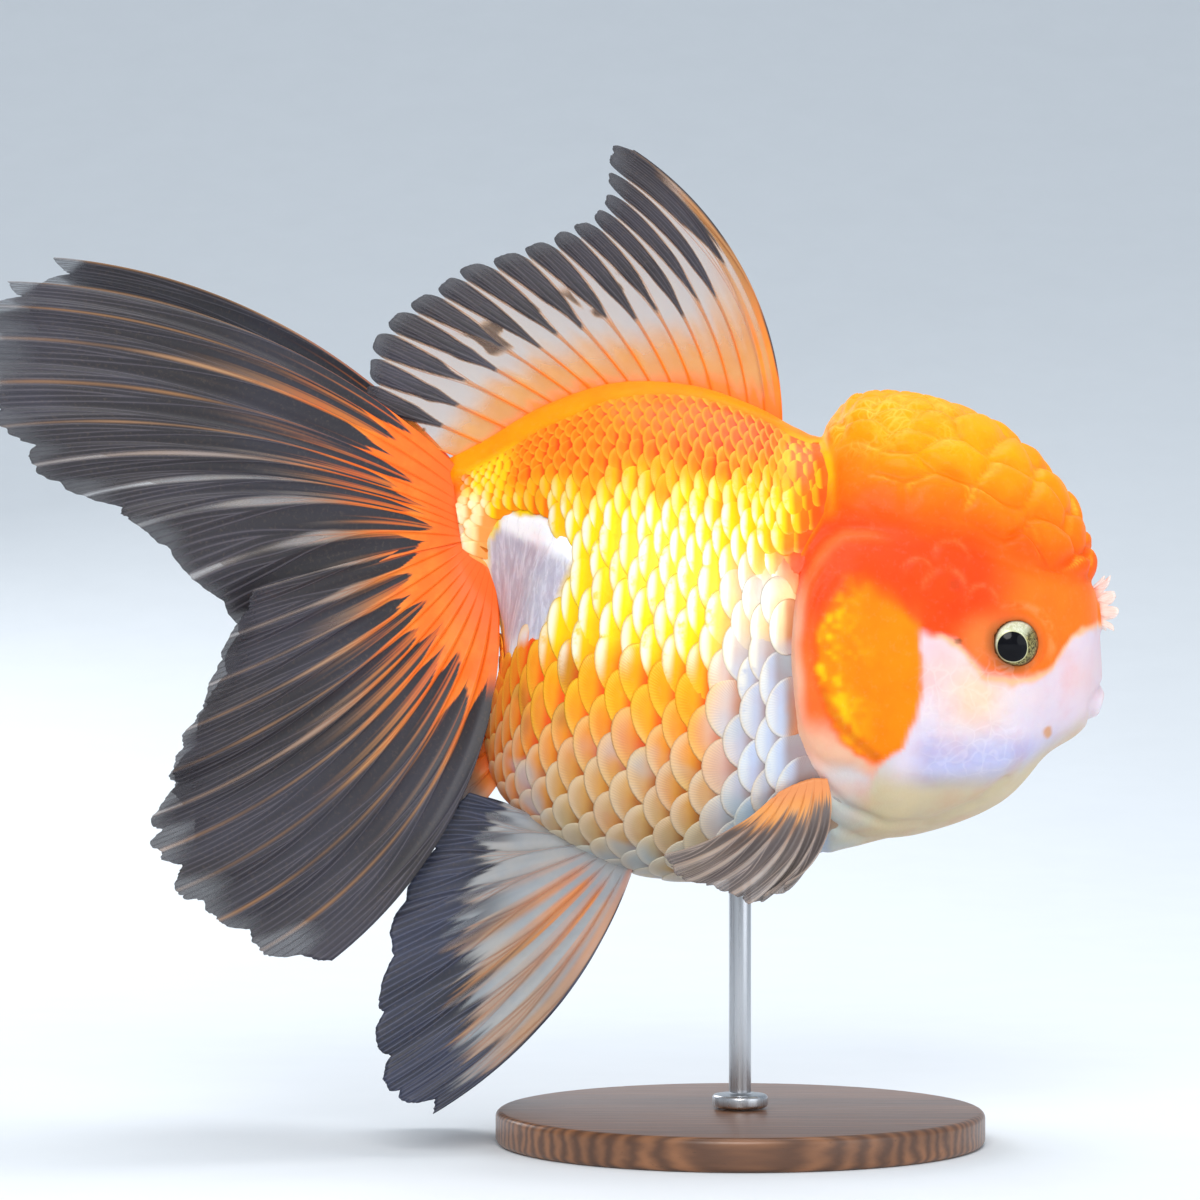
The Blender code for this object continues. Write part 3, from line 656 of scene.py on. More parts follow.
def mouth_form(head):
    """Lips round a slit, painted dark as partly its own colour and partly painted shade, and a nostril
    pit under each flap; where the lips and the slit are.
    """
    lift = (head.z - MOUTH["middle"][1]) + 0.25 * (head.x - MOUTH["middle"][0])
    ring = np.hypot(head.y / MOUTH["half_width"], lift / MOUTH["half_height"])
    facing = ramp(head.x, 57, 60)
    lips = 0.75 * hill(ring, 1.15, 0.36) - 2.0 * (1 - ramp(ring, 0.1, 0.8))
    pit = np.hypot(head.y - NOSTRIL["y"], head.z - NOSTRIL["z"])
    nostril = 0.5 * hill(pit, 2.1, 0.7) - 1.2 * (1 - ramp(pit, 0.4, 1.5))
    height = facing * (lips - 0.4 * hill(ring, 2.0, 0.35)) + ramp(head.x, 55, 58) * nostril
    return height, facing * (1 - ramp(ring, 1.2, 1.7)), facing * (1 - ramp(ring, 0.4, 0.7))


def head_relief(points):
    """Height of the head's forms over the plain body, and masks for its lines and wet parts."""
    head = Head(points)
    hood, crease = hood_form(head)
    cheek, temple, web = cheek_form(head)
    socket, folds = eye_form(head)
    mouth, lips, inner = mouth_form(head)
    height = hood + gill_form(head) + cheek + socket + mouth
    # the lines carry the hood's painted highlights and painted shade, the temple lobes' painted
    # highlights and the eye folds' pale lines
    lines = crease + 0.35 * temple + 0.9 * folds
    wrinkled = head.hood * ramp(head.z, 72, 80) * ramp(46 - head.x, 0, 14)
    return height, lines, lips, inner, head.hood, np.stack([web, wrinkled, wrinkled], axis=-1)


def build_skin(material):
    """One skin over the head and trunk, lower under the scales."""
    rings, around = skin_places()
    base = body_points(rings[:, None], around)
    normal = grid_normals(base).reshape(-1, 3)
    base = base.reshape(-1, 3)
    height, lines, lips, inner, hood = np.zeros((5, len(base)))
    network = np.zeros((len(base), 3))
    front = np.flatnonzero(base[:, 0] > 4)
    height[front], lines[front], lips[front], inner[front], hood[front], network[front] = (
        head_relief(base[front])
    )
    scaled = 1 - ramp(base[:, 0] - slot_line(base[:, 2]), -1.2, 0.2)
    bare = ramp(signed_distance(base[:, [0, 2]], SILVER_PATCH), -1.0, 1.0)
    height = height * (1 - scaled) - SKIN_UNDER_SCALES * scaled * (1 - 0.8 * bare)
    height = height + 0.1 * soft_noise(base * (1.0, 1.0, 0.25), 1.6, 41) * bare
    height = height + 0.75 * scaled * along_ridge(base)
    moved = base + normal * height[:, None]
    tint, shine, _ = markings(base)
    values = {
        "tint": tint, "shine": shine, "crease": lines, "hood": hood, "network": network,
        "mouth": np.stack([lips, inner, bare], axis=-1),
    }

    # a cap closes each end, round a point in its middle
    count = SKIN_RINGS * SKIN_POINTS
    last = count - SKIN_POINTS
    points = np.vstack([moved, moved[:SKIN_POINTS].mean(axis=0), moved[last:].mean(axis=0)])
    column = np.arange(SKIN_POINTS)
    following = (column + 1) % SKIN_POINTS
    tail_cap = np.stack([following, column, np.full_like(column, count)], axis=-1)
    mouth_cap = np.stack([column, following, np.full_like(column, SKIN_POINTS + 1)], axis=-1) + last
    place = np.stack(np.meshgrid(
        np.arange(SKIN_POINTS + 1) / SKIN_POINTS, np.linspace(0.02, 0.98, SKIN_RINGS)
    ), axis=-1)
    squares = np.stack([place[:-1, :-1], place[:-1, 1:], place[1:, 1:], place[1:, :-1]], axis=2)
    tail_uv = np.stack([place[0, 1:], place[0, :-1], place[0, :-1] * (1, 0)], axis=1)
    mouth_uv = np.stack([place[-1, :-1], place[-1, 1:], place[-1, :-1] * (1, 0) + (0, 1)], axis=1)
    skin = new_piece(
        "skin", points, [grid_faces(SKIN_RINGS, SKIN_POINTS, wrap=True), tail_cap, mouth_cap], material,
        np.concatenate([uv.reshape(-1, 2) for uv in (squares, tail_uv, mouth_uv)]),
        {key: np.concatenate([rows, rows[:1], rows[-1:]]) for key, rows in values.items()},
    )
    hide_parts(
        "head", "hood", "lips", "gill_cover_right", "gill_cover_left", "trunk", "tail_root"
    )
    return skin


# ---------------------------------------------------------------- scales

SCALE_ROWS = (
    # share of the way from the back ridge to the keel, scales for each large scale
    (0.062, 2.4), (0.087, 2.4), (0.112, 2.4), (0.138, 2.4), (0.165, 2.4), (0.193, 2.4),
    (0.223, 2.0), (0.255, 2.0), (0.289, 1.7), (0.325, 1.7), (0.363, 1.7), (0.402, 1.4),
    (0.442, 1.4), (0.484, 1.25), (0.528, 1.25), (0.573, 1.0), (0.619, 1.0), (0.665, 1.0),
    (0.711, 1.0), (0.757, 1.0), (0.803, 1.0), (0.849, 1.0), (0.895, 1.0), (0.941, 1.0),
)
# How far forward the scales go, from tail root 0 to mouth 1, and how finely the trunk is mapped
TRUNK_END, TRUNK_STATIONS, TRUNK_SHARES = 0.56, 159, 240
TRUNK_MIDDLE = (0, 0, 44)
# Length of a large scale, and where one column of scales stands and how far it leans
SCALE_STEP = 5.5
UPRIGHT_COLUMN, SCALE_LEAN = -14.0, 6.0
SCALE_CORNERS = 26
SCALE_RINGS = (0.34, 0.62, 0.82, 0.94, 1.0)
SCALE_UNDERSIDE, SCALE_EDGE = 0.985, 0.2
SCALE_REACH, SCALE_HALF_HEIGHT = 1.0, 1.08
# Tilt and crown of a scale as shares of its length, and how deep its middle sits
SCALE_TILT, SCALE_CROWN, SCALE_DEPTH = 0.078, 0.014, 0.2


class TrunkMap:
    """Turns a station along the trunk and a share of the way down into a point on it."""

    def __init__(self):
        sweep = np.linspace(math.pi / 2, -math.pi / 2, 721)
        shares = np.linspace(0, 1, TRUNK_SHARES + 1)
        self.around = even_angles(np.linspace(0, TRUNK_END, TRUNK_STATIONS + 1), sweep, shares)

    def point(self, station, share):
        """The point at a station and a share of the way down, on the left side."""
        place = np.clip(station, 0, TRUNK_STATIONS - 0.001)
        low = place.astype(int)
        part = place - low
        down = np.clip(np.abs(share), 0, 1) * TRUNK_SHARES
        down_low = np.minimum(down.astype(int), TRUNK_SHARES - 1)
        down_part = down - down_low
        angle = 0.0
        for step_a, step_b in itertools.product((0, 1), repeat=2):
            weight = (part if step_a else 1 - part) * (down_part if step_b else 1 - down_part)
            angle = angle + weight * self.around[low + step_a, down_low + step_b]
        return body_points(place / TRUNK_STATIONS * TRUNK_END, angle)

    def slopes(self, station, share):
        """How the point moves for one station, and for the whole way down."""
        ahead = self.point(station + 0.5, share) - self.point(station - 0.5, share)
        down = (self.point(station, share + 0.004) - self.point(station, share - 0.004)) / 0.008
        return ahead, down


def scale_places(trunk):
    """Staggered places of the scales: station, share, row height, length and row number."""
    rows = np.array(SCALE_ROWS)
    stations = np.linspace(0, TRUNK_STATIONS, 800)
    places = []
    for number, (share, density) in enumerate(rows):
        above = share - rows[number - 1, 0] if number else 0.025
        under = rows[number + 1, 0] - share if number + 1 < len(rows) else 0.046
        path = trunk.point(stations, np.full(len(stations), share))
        narrow = 1 - 0.28 * ramp(-path[:, 0], 30, 44) - 0.2 * ramp(path[:, 0], -2, 6)
        step = np.linalg.norm(np.diff(path, axis=0), axis=1) / (SCALE_STEP * narrow[1:])
        travel = np.concatenate([[0], np.cumsum(step)])
        upright = UPRIGHT_COLUMN - SCALE_LEAN * (share - 0.5)
        front = np.flatnonzero(path[:, 0] > upright)[0]
        offset = travel[front] - (path[front, 0] - upright) / (SCALE_STEP * narrow[front])
        for count in range(-90, 90):
            at = offset + (count + 0.5 * (number % 2)) / density
            if 0 < at < travel[-1]:
                station = np.interp(at, travel, stations)
                length = SCALE_STEP * np.interp(at, travel, narrow) / density
                places.append((station, share, (above + under) / 2, length, number))
    return np.array(places)


def chosen_scales(trunk, chance):
    """The scales that are there: their places, own slight changes, middles and slopes."""
    spots = scale_places(trunk)
    jitter = chance.uniform(-1, 1, (len(spots), 4))
    ahead, down = trunk.slopes(spots[:, 0], spots[:, 1])
    spots[:, 0] += 0.05 * jitter[:, 0] * spots[:, 3] / np.linalg.norm(ahead, axis=1)
    spots[:, 1] += 0.04 * jitter[:, 1] * spots[:, 2]
    centre = trunk.point(spots[:, 0], spots[:, 1])
    x, z = centre[:, 0], centre[:, 2]
    off_patch = signed_distance(centre[:, [0, 2]], SILVER_PATCH) < -1.2
    limit = slot_line(z) + 0.6 - 5.0 * ramp(spots[:, 1], 0.82, 0.9) - 1.8 * ramp(z, 50, 58)
    kept = off_patch & (x < limit) & (x > -49.5)
    return spots[kept], jitter[kept], centre[kept], ahead[kept], down[kept]


def scale_outline():
    """A scale's points in its own plane, as its middle, its rings and its underside."""
    angle = np.arange(SCALE_CORNERS) / SCALE_CORNERS * 2 * math.pi
    edge_x, edge_y = np.cos(angle), np.sin(angle)
    edge_x = np.sign(edge_x) * np.abs(edge_x) ** np.where(edge_x > 0, 0.9, 1.0)
    radii = [0.0] + [r for r in SCALE_RINGS for _ in angle] + [SCALE_UNDERSIDE] * SCALE_CORNERS
    rings = len(SCALE_RINGS) + 1
    local_x = np.concatenate([[0], np.tile(edge_x, rings)]) * radii
    local_y = np.concatenate([[0], np.tile(edge_y, rings)]) * radii
    return np.array(radii), local_x, local_y


def scale_faces(count, inward):
    """Faces of a number of scales: a fan and bands on top, and one face under each."""
    corner = np.arange(SCALE_CORNERS)
    fan = np.stack([np.zeros_like(corner), 1 + corner, 1 + (corner + 1) % SCALE_CORNERS], axis=-1)
    bands = 1 + grid_faces(len(SCALE_RINGS) + 1, SCALE_CORNERS, wrap=True)[:, [0, 3, 2, 1]]
    under = (1 + len(SCALE_RINGS) * SCALE_CORNERS + corner)[::-1][None]
    each = 1 + (len(SCALE_RINGS) + 1) * SCALE_CORNERS
    start = (np.arange(count) * each)[:, None, None]
    shapes = [shape[:, ::-1] if inward else shape for shape in (fan, bands, under)]
    return [(start + shape[None]).reshape(-1, shape.shape[1]) for shape in shapes]


def build_scales(side, seed, material):
    """The scales of one side, in staggered rows that overlap towards the tail."""
    trunk = TrunkMap()
    chance = np.random.default_rng(seed)
    spots, jitter, centre, ahead, down = chosen_scales(trunk, chance)
    radii, local_x, local_y = scale_outline()

    # each scale is turned a little, and its height is measured straight up the flank
    turn, size = 0.05 * jitter[:, 2:3], 1 + 0.05 * jitter[:, 3:4]
    turned_x = local_x * np.cos(turn) - local_y * np.sin(turn)
    turned_y = local_y * np.cos(turn) + local_x * np.sin(turn)
    run = np.linalg.norm(ahead, axis=1)
    per_station = (spots[:, 3] / run)[:, None]
    along = 0.12 * (down * ahead).sum(axis=1) + down[:, 0] * ahead[:, 0]
    upright = -along / (0.12 * run**2 + ahead[:, 0] ** 2)
    share_step = SCALE_HALF_HEIGHT * spots[:, 2:3] * size * turned_y
    station = spots[:, 0:1] - SCALE_REACH * per_station * size * turned_x
    station = station + upright[:, None] * share_step
    share = spots[:, 1:2] + share_step

    # it tilts so that its free edge lies over the next one
    points = trunk.point(station, share)
    ahead = trunk.point(station + 0.4, share) - trunk.point(station - 0.4, share)
    down = trunk.point(station, share + 0.002) - trunk.point(station, share - 0.002)
    normal = np.cross(ahead, down)
    normal = normal / np.maximum(np.linalg.norm(normal, axis=-1, keepdims=True), 1e-9)
    outward = np.sign((normal * (points - TRUNK_MIDDLE))[..., 1:2].mean(axis=1, keepdims=True))
    normal = normal * np.where(outward == 0, 1, outward)
    length = np.linalg.norm(points[:, 1 + 4 * SCALE_CORNERS] - points[:, 0], axis=-1)[:, None]
    at_nape = ramp(centre[:, 0:1] - slot_line(centre[:, 2:3]), -7, -2) * ramp(centre[:, 2:3], 48, 56)
    tilt = SCALE_TILT * length * (1 - 0.6 * at_nape)
    crown = SCALE_CROWN * length * (1 - radii**2)
    lift = tilt * local_x + crown - SCALE_DEPTH - 0.22 * at_nape
    lift = lift - 0.07 * ramp(radii, 0.88, 1.0)
    lift[:, -SCALE_CORNERS:] -= SCALE_EDGE
    points = points + normal * lift[..., None]
    tint, shine, golden = markings(0.55 * centre[:, None] + 0.45 * points)
    points = points * (1, side, 1)

    ahead_edge, down_edge = (points[0, corner] - points[0, 0] for corner in (1, 1 + SCALE_CORNERS // 4))
    faces = scale_faces(len(spots), side * np.cross(ahead_edge, down_edge)[1] < 0)
    cell_u = (spots[:, 0:1] + 0.42 * per_station * local_x + 6) / (TRUNK_STATIONS + 13)
    cell_v = np.broadcast_to((spots[:, 4:5] + 0.45 * local_y + 0.5) / len(SCALE_ROWS), cell_u.shape)
    uv_points = np.stack([cell_u, cell_v], axis=-1).reshape(-1, 2)
    own = chance.uniform(0, 1, (len(spots), 1))
    local = [np.broadcast_to(values, cell_u.shape) for values in (local_x, local_y, own)]
    piece = new_piece(
        "scales_right" if side == RIGHT else "scales_left", points.reshape(-1, 3), faces, material,
        np.concatenate([uv_points[shape.ravel()] for shape in faces]),
        {
            "tint": tint.reshape(-1, 3), "shine": shine.ravel(), "golden": golden.ravel(),
            "scale": np.stack(local, axis=-1).reshape(-1, 3),
        },
    )
    return piece


# ---------------------------------------------------------------- fins

# Each fin as a fan: where its root runs (x, y, z), and across it from its first ray to its last
# the angle, chord and turn of its rays and how far they splay out sideways. Angles are in degrees.
FINS = {
    "dorsal_fin": {
        "rays": 17,
        "root": ((7.6, 0, 79.5), (-4.5, 0, 84.8), (-18.5, 0, 86.6), (-32, 0, 84), (-49, 0, 74.5)),
        "angle": (120, 121, 127, 142, 154, 158), "chord": (61.8, 43.5, 35.6, 35.4, 33.2, 20),
        "turn": (63, 46, 26, 12, 6, 0), "splay": (0, 0), "ripple": (1.2, 1.0), "notch": 0.1,
        "ragged": 0.012, "thick": 2.2, "swing": 0, "blade": True,
    },
    "tail_fin_upper": {
        "rays": 10,
        "root": ((-50.6, 1.3, 73.2), (-51, 2.4, 67.4), (-50.6, 3.2, 63), (-50, 3.8, 59.8)),
        "angle": (158, 162, 169, 174.5, 181, 201.5), "chord": (85.5, 86.5, 81.5, 69, 53.5, 40),
        "turn": (44, 40, 36, 38, 42, 26), "splay": (18, 26, 31, 32, 27, 18), "ripple": (1.6, 2.5),
        "notch": 0.03, "ragged": 0.02, "thick": 1.4, "swing": -5.5,
    },
    "tail_fin_lower": {
        "rays": 11,
        "root": ((-51.4, 3.4, 60.8), (-50, 3.9, 55.8), (-47.2, 4.7, 51.6), (-43.2, 5.4, 47.8)),
        "angle": (195.5, 208.5, 215, 221, 230.5, 244.5), "chord": (36.5, 47.5, 60.5, 70, 72.5, 68),
        "turn": (6, -12, -28, -42, -52, -56), "splay": (19, 27, 33, 34, 30, 21), "ripple": (1.7, 3.0),
        "notch": 0.03, "ragged": 0.025, "thick": 1.4, "swing": -5.5,
    },
    "pelvic_fin": {
        "rays": 9, "root": ((-19.4, 7.5, 1.4), (-24.4, 7.5, 4.4), (-30, 7, 8)),
        "angle": (230, 224, 216, 203, 184, 158), "chord": (54.5, 56, 51, 40, 28.5, 20),
        "turn": (-42, -30, -14, 0, 6, 10), "splay": (14, 15, 14, 10, 6, 3), "ripple": (0.9, 2),
        "notch": 0.035, "ragged": 0.02, "thick": 1.8, "swing": 3.0,
    },
    "pectoral_fin": {
        "rays": 8, "root": ((14.6, 26.2, 17.2), (9.8, 26.8, 16.6), (4.8, 26.6, 15)),
        "angle": (246, 240, 231, 218, 207), "chord": (18.6, 22.4, 22, 23, 21.5),
        "turn": (-74, -62, -50, -42, -34), "splay": (7, 8.5, 9, 9, 7), "ripple": (0.8, 2.5),
        "notch": 0.05, "ragged": 0.02, "thick": 2.6, "swing": -6.0,
        "pleat": 0.6, "tanned": 0.35,
    },
    "anal_fin": {
        "rays": 6, "root": ((-41.5, 2.8, 20), (-43.2, 3, 25.5), (-42.7, 3, 31)),
        "angle": (228, 216, 204, 194), "chord": (18.5, 19, 15.5, 11), "turn": (-26, -16, -6, 0),
        "splay": (3.5, 4.5, 4, 3), "ripple": (0.4, 1.5), "notch": 0.05, "ragged": 0.02,
        "thick": 1.5, "swing": 0,
    },
    "nose_flap": {
        "rays": 4, "root": ((60.6, 3.2, 50.4), (61.8, 5.6, 45.2)), "angle": (32, 12, -14),
        "chord": (6.8, 6.2, 5.0), "turn": (36, 6, -30), "splay": (0.8, 1.8, 1.2), "ripple": (0.5, 1.5),
        "notch": 0.4, "ragged": 0.06, "thick": 1.7, "swing": 0, "tanned": 0.0,
    },
}


def fan_points(fin, across, out, side):
    """Points on a fin's middle sheet, across its rays and out along them."""
    root = spline(fin["root"], across)
    swing = fin["swing"] if side == LEFT else 0
    angle = np.radians(spline(fin["angle"], across)[..., 0] + swing)
    turn = np.radians(spline(fin["turn"], across)[..., 0]) + 1e-6
    arc = spline(fin["chord"], across)[..., 0] * (turn / 2) / np.sin(turn / 2)
    start = angle - turn / 2
    heading = start + turn * out
    x = root[..., 0] + arc * (np.sin(heading) - np.sin(start)) / turn
    z = root[..., 2] - arc * (np.cos(heading) - np.cos(start)) / turn
    depth, waves = fin["ripple"]
    ripple = depth * np.sin(2 * math.pi * (waves * across + 0.2 * out)) * out**2
    beyond = np.clip(out, 0, None)
    y = root[..., 1] + spline(fin["splay"], across)[..., 0] * beyond**1.3 + ripple
    return np.stack([x, side * y, z], axis=-1)


def ray_reach(fin, across, seed):
    """How far each ray reaches, with notches between rays and a frayed edge."""
    place = (fin["rays"] - 1) * across
    off_ray = 2 * np.abs(place - np.round(place))
    notch = fin["notch"] * off_ray**2.6
    if fin.get("blade"):
        notch = fin["notch"] * off_ray**5
        notch = notch * ramp(place, 1.0, 1.3) + 0.07 * (1 - ramp(place, 0, 0.45)) ** 2
    ragged = fin["ragged"] * (np.sin(3.2 * place) + np.sin(1.8 * place + 1)) / 2
    lie = np.stack([place * 4.2, np.zeros_like(place), np.zeros_like(place)], axis=-1)
    fray = soft_noise(lie, 1, seed) + 0.6 * soft_noise(lie, 0.45, seed + 1)
    fray = fray + 0.5 * soft_noise(lie, 0.16, seed + 2)
    return 1 - notch - ragged + 0.3 * fin["ragged"] * fray


def ray_split(place, out):
    """Distance from the branches of the nearest ray: one at the root, four at the tip."""
    whole = np.abs(place - np.round(place))
    first = 0.25 * ramp(out, 0.3, 0.75)
    second = 0.125 * ramp(out, 0.6, 1.0)
    return np.abs(np.abs(whole - first) - second)


# How deep a fin's root is sunk, as a share of its reach, and half the thickness of its web
ROOT_DEPTH = -0.07
FIN_SHEET = 0.22


def build_fin(name, side, columns, rows, pattern, material):
    """A thin closed fin with raised rays and its colour masks."""
    kind = name.rsplit("_", 1)[0] if name not in FINS else name
    fin = FINS[kind]
    seed = 100 + sorted(FINS).index(kind) * 7 + (3 if side == LEFT else 0)
    across = np.linspace(0, 1, columns)[None, :]
    out = ROOT_DEPTH + (1 - ROOT_DEPTH) * np.linspace(0, 1, rows)[:, None] ** 0.95
    reach = ray_reach(fin, across, seed)
    across_grid, out_grid = np.broadcast_arrays(across, out)
    out_real = out_grid * reach
    middle = fan_points(fin, across_grid, out_real, side)
    normal = np.cross(np.gradient(middle, axis=1), np.gradient(middle, axis=0))
    normal = normal / np.maximum(np.linalg.norm(normal, axis=-1, keepdims=True), 1e-9)
    if (normal[..., 1].mean() < 0) != (side < 0):
        normal = -normal
    place = across_grid * (fin["rays"] - 1)
    near = ray_split(place, out_real)
    sheet = FIN_SHEET + (fin["thick"] / 2 - FIN_SHEET) * (1 - ramp(out_real, -0.03, 0.3))
    ray = hill(near, 0, 0.07) * (0.34 - 0.2 * out_real) * ramp(out_real, 0.0, 0.1)
    rim = np.minimum(across_grid, 1 - across_grid) * (fin["rays"] - 1)
    half = (sheet + ray) * (0.35 + 0.65 * ramp(np.minimum(1 - out_grid, 1), 0, 0.02))
    half = half * (0.6 + 0.4 * ramp(rim, 0, 0.15))
    pleat = fin.get("pleat", 0.28) * np.cos(2 * math.pi * place) * ramp(out_real, 0.1, 0.5)
    front = middle + normal * (pleat + half)[..., None]
    back = middle + normal * (pleat - half)[..., None]
    points = np.concatenate([front.reshape(-1, 3), back.reshape(-1, 3)])
    count = rows * columns
    faces = grid_faces(rows, columns)
    border = np.concatenate([
        np.arange(columns), np.arange(1, rows) * columns + columns - 1,
        (rows - 1) * columns + np.arange(columns - 2, -1, -1), np.arange(rows - 2, 0, -1) * columns,
    ])
    after = np.roll(border, -1)
    wall = np.stack([border, border + count, after + count, after], axis=-1)
    quads = [faces, faces[:, ::-1] + count, wall]
    corner = points[faces[0]]
    facing = np.cross(corner[1] - corner[0], corner[2] - corner[0]) @ normal[0, 0]
    if facing < 0:
        quads = [q[:, ::-1] for q in quads]
    uv_front = np.stack([0.02 + 0.46 * across_grid, 0.02 + 0.96 * out_grid], axis=-1).reshape(-1, 2)
    uv_points = np.concatenate([uv_front, uv_front + (0.5, 0)])
    uv = np.concatenate([uv_points[q.ravel()] for q in quads])
    masks = pattern(fin, place, out_real, middle)
    tanned = np.full_like(place, fin.get("tanned", 1.0))
    values = {
        "fan": np.stack([place, out_real, tanned], axis=-1), "masks": np.stack(masks[:3], axis=-1),
        "tone": masks[3],
    }
    attributes = {
        key: np.concatenate([rows_of, rows_of]).reshape(2 * count, *rows_of.shape[2:])
        for key, rows_of in values.items()
    }
    piece = new_piece("rayed_" + name, points, quads, material, uv, attributes)
    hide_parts(name)
    return piece


def own_number(place, seed):
    """A fixed number from 0 to 1 for each membrane between two rays."""
    nothing = np.zeros_like(place)
    return cell_number(np.stack([np.floor(place), nothing, nothing], axis=-1), seed)


def streaky(place, out, fine, long, seed):
    """Noise from -1 to 1 drawn out along the rays."""
    return soft_noise(np.stack([place * fine, out * long, np.zeros_like(out)], axis=-1), 1, seed)


def tail_pattern(place, out, middle, begin, streaks):
    """Dark webs that start as wedges, with a streak along each ray; streaks: end, width, clear."""
    off_ray = np.abs(place - np.round(place))
    ray = np.arange(len(streaks))
    near = np.clip(np.round(place), 0, len(streaks) - 1)
    end, width, clearness = (np.interp(near, ray, column) for column in np.array(streaks).T)
    begin = begin + 0.12 * own_number(place, 3) + 0.02 * streaky(place, out, 6, 4, 21)
    taper = 1 - ramp(out, end - 0.3, end)
    half = width * (0.75 + 0.5 * hill(out, end - 0.2, 0.16)) * taper
    half = half + (0.5 - half) * (1 - ramp(out, begin, begin + 0.1)) ** 1.5
    soft = 0.02 + 0.05 * ramp(out, 0.2, 0.6)
    dark = ramp(off_ray + 0.02 * streaky(place, out, 9, 8, 22), half - soft, half + soft)
    dark = dark * ramp(out, begin - 0.02, begin + 0.015)
    combed = ramp(streaky(place, out, 5.5, 1.1, 25) + 0.4 * streaky(place, out, 17, 2, 26), 0.2, 0.9)
    dark = dark * (1 - 0.6 * combed * (1 - ramp(out, begin + 0.15, begin + 0.5)))
    open_web = ramp(out, 0.34, 0.56) * clearness
    orange = 1 - open_web * 0.9
    tip = ramp(out + 0.05 * streaky(place, out, 3, 2, 8), 0.88, 1.0)
    clear = np.maximum((1 - dark) * open_web, 0.55 * tip)
    return dark, orange, clear, soft_noise(middle, 14, 2) + 0.5 * streaky(place, out, 2.5, 3, 23)


UPPER_STREAKS = (
    (0.16, 0.03, 0.0), (0.3, 0.04, 0.0), (0.78, 0.05, 0.1), (0.34, 0.05, 0.0), (0.5, 0.06, 0.1),
    (0.9, 0.06, 0.6), (0.98, 0.08, 1.0), (0.86, 0.1, 0.9), (0.76, 0.1, 0.8), (0.66, 0.12, 0.5),
)
LOWER_STREAKS = (
    (0.7, 0.13, 0.7), (0.72, 0.12, 0.5), (0.6, 0.12, 0.3), (0.7, 0.1, 0.2), (0.5, 0.1, 0.1),
    (0.78, 0.09, 0.3), (0.6, 0.09, 0.1), (0.66, 0.08, 0.0), (0.5, 0.08, 0.0), (0.62, 0.06, 0.0),
    (0.3, 0.04, 0.0),
)


def upper_tail_pattern(fin, place, out, middle):
    """The upper lobe: nearly all dark above, and clear-ended streaks between its lower webs."""
    dark, orange, clear, tone = tail_pattern(place, out, middle, 0.05, UPPER_STREAKS)
    share = place / (fin["rays"] - 1)
    fringe = ramp(out + 0.03 * streaky(place, out, 3, 2, 9), 0.93, 0.97) * (1 - ramp(share, 0.3, 0.5))
    return dark, orange, np.maximum(clear, fringe), tone


def lower_tail_pattern(fin, place, out, middle):
    """The lower lobe: orange rays between narrow dark wedges, and a dark leading band."""
    dark, orange, clear, tone = tail_pattern(place, out, middle, 0.1, LOWER_STREAKS)
    lead = ramp(place / (fin["rays"] - 1), 0.94, 0.97) * ramp(out, 0.14, 0.24)
    dark = np.maximum(dark, lead)
    return dark, orange, clear * (1 - lead), tone


def dorsal_pattern(fin, place, out, middle):
    """Dark paddles on orange rays, with clear slots between them."""
    own = own_number(place + 0.5, 5)
    rough = streaky(place, out, 3.2, 9, 6)
    off_ray = 2 * np.abs(place - np.round(place))
    off_ray = np.where(place < 1.25, 2 * np.abs(place - 0.8) * 0.62, off_ray)
    begin = 0.37 + 0.12 * own + 0.06 * ramp(3 - place, 0, 2)
    width = 0.16 + 0.38 * ramp(out, begin, begin + 0.22) + 0.09 * rough * (1 - ramp(out, 0.6, 0.8))
    width = width + 0.4 * ramp(out, begin + 0.05, 1.0)
    dark = (1 - ramp(off_ray, width - 0.06, width + 0.06)) * ramp(out + 0.03 * rough, begin, begin + 0.03)
    scraps = ramp(streaky(place, out, 2.4, 8, 12), 0.45, 0.55) * ramp(out, 0.44, 0.5)
    dark = np.maximum(dark, 0.85 * scraps * ramp(0.72 - out, 0, 0.08) * ramp(place, 3, 5))
    lead = ramp(0.46 - place, 0, 0.12)
    upper = ramp(out, 0.7, 0.86)
    dark = np.maximum(dark * (1 - lead * (1 - upper)), lead * upper * 0.8)
    outer_rim = ramp(0.12 - place, 0, 0.06) * ramp(out, 0.12, 0.2)
    dark = np.maximum(dark, outer_rim * (1 - ramp(out, 0.3, 0.4) + ramp(out, 0.5, 0.6)))
    ray_line = (1 - ramp(off_ray, 0.1, 0.2)) * (1 - ramp(out, begin, begin + 0.06))
    ray_line = ray_line * (1 - 0.35 * ramp(out, 0.2, 0.4))
    orange = np.maximum(1 - ramp(out + 0.03 * rough, 0.06, 0.17), ray_line)
    orange = np.maximum(orange, lead * (1 - ramp(out, 0.66, 0.86)))
    web = 1 - ramp(out + 0.05 * rough, 0.16, 0.46 + 0.12 * ramp(4 - place, 0, 3))
    clear = (1 - np.maximum(dark, orange)) * (1 - 0.85 * web)
    tips = dark * ramp(out, 0.86, 1.0) * 0.5
    return dark, orange, np.maximum(clear, tips), soft_noise(middle, 9, 2)


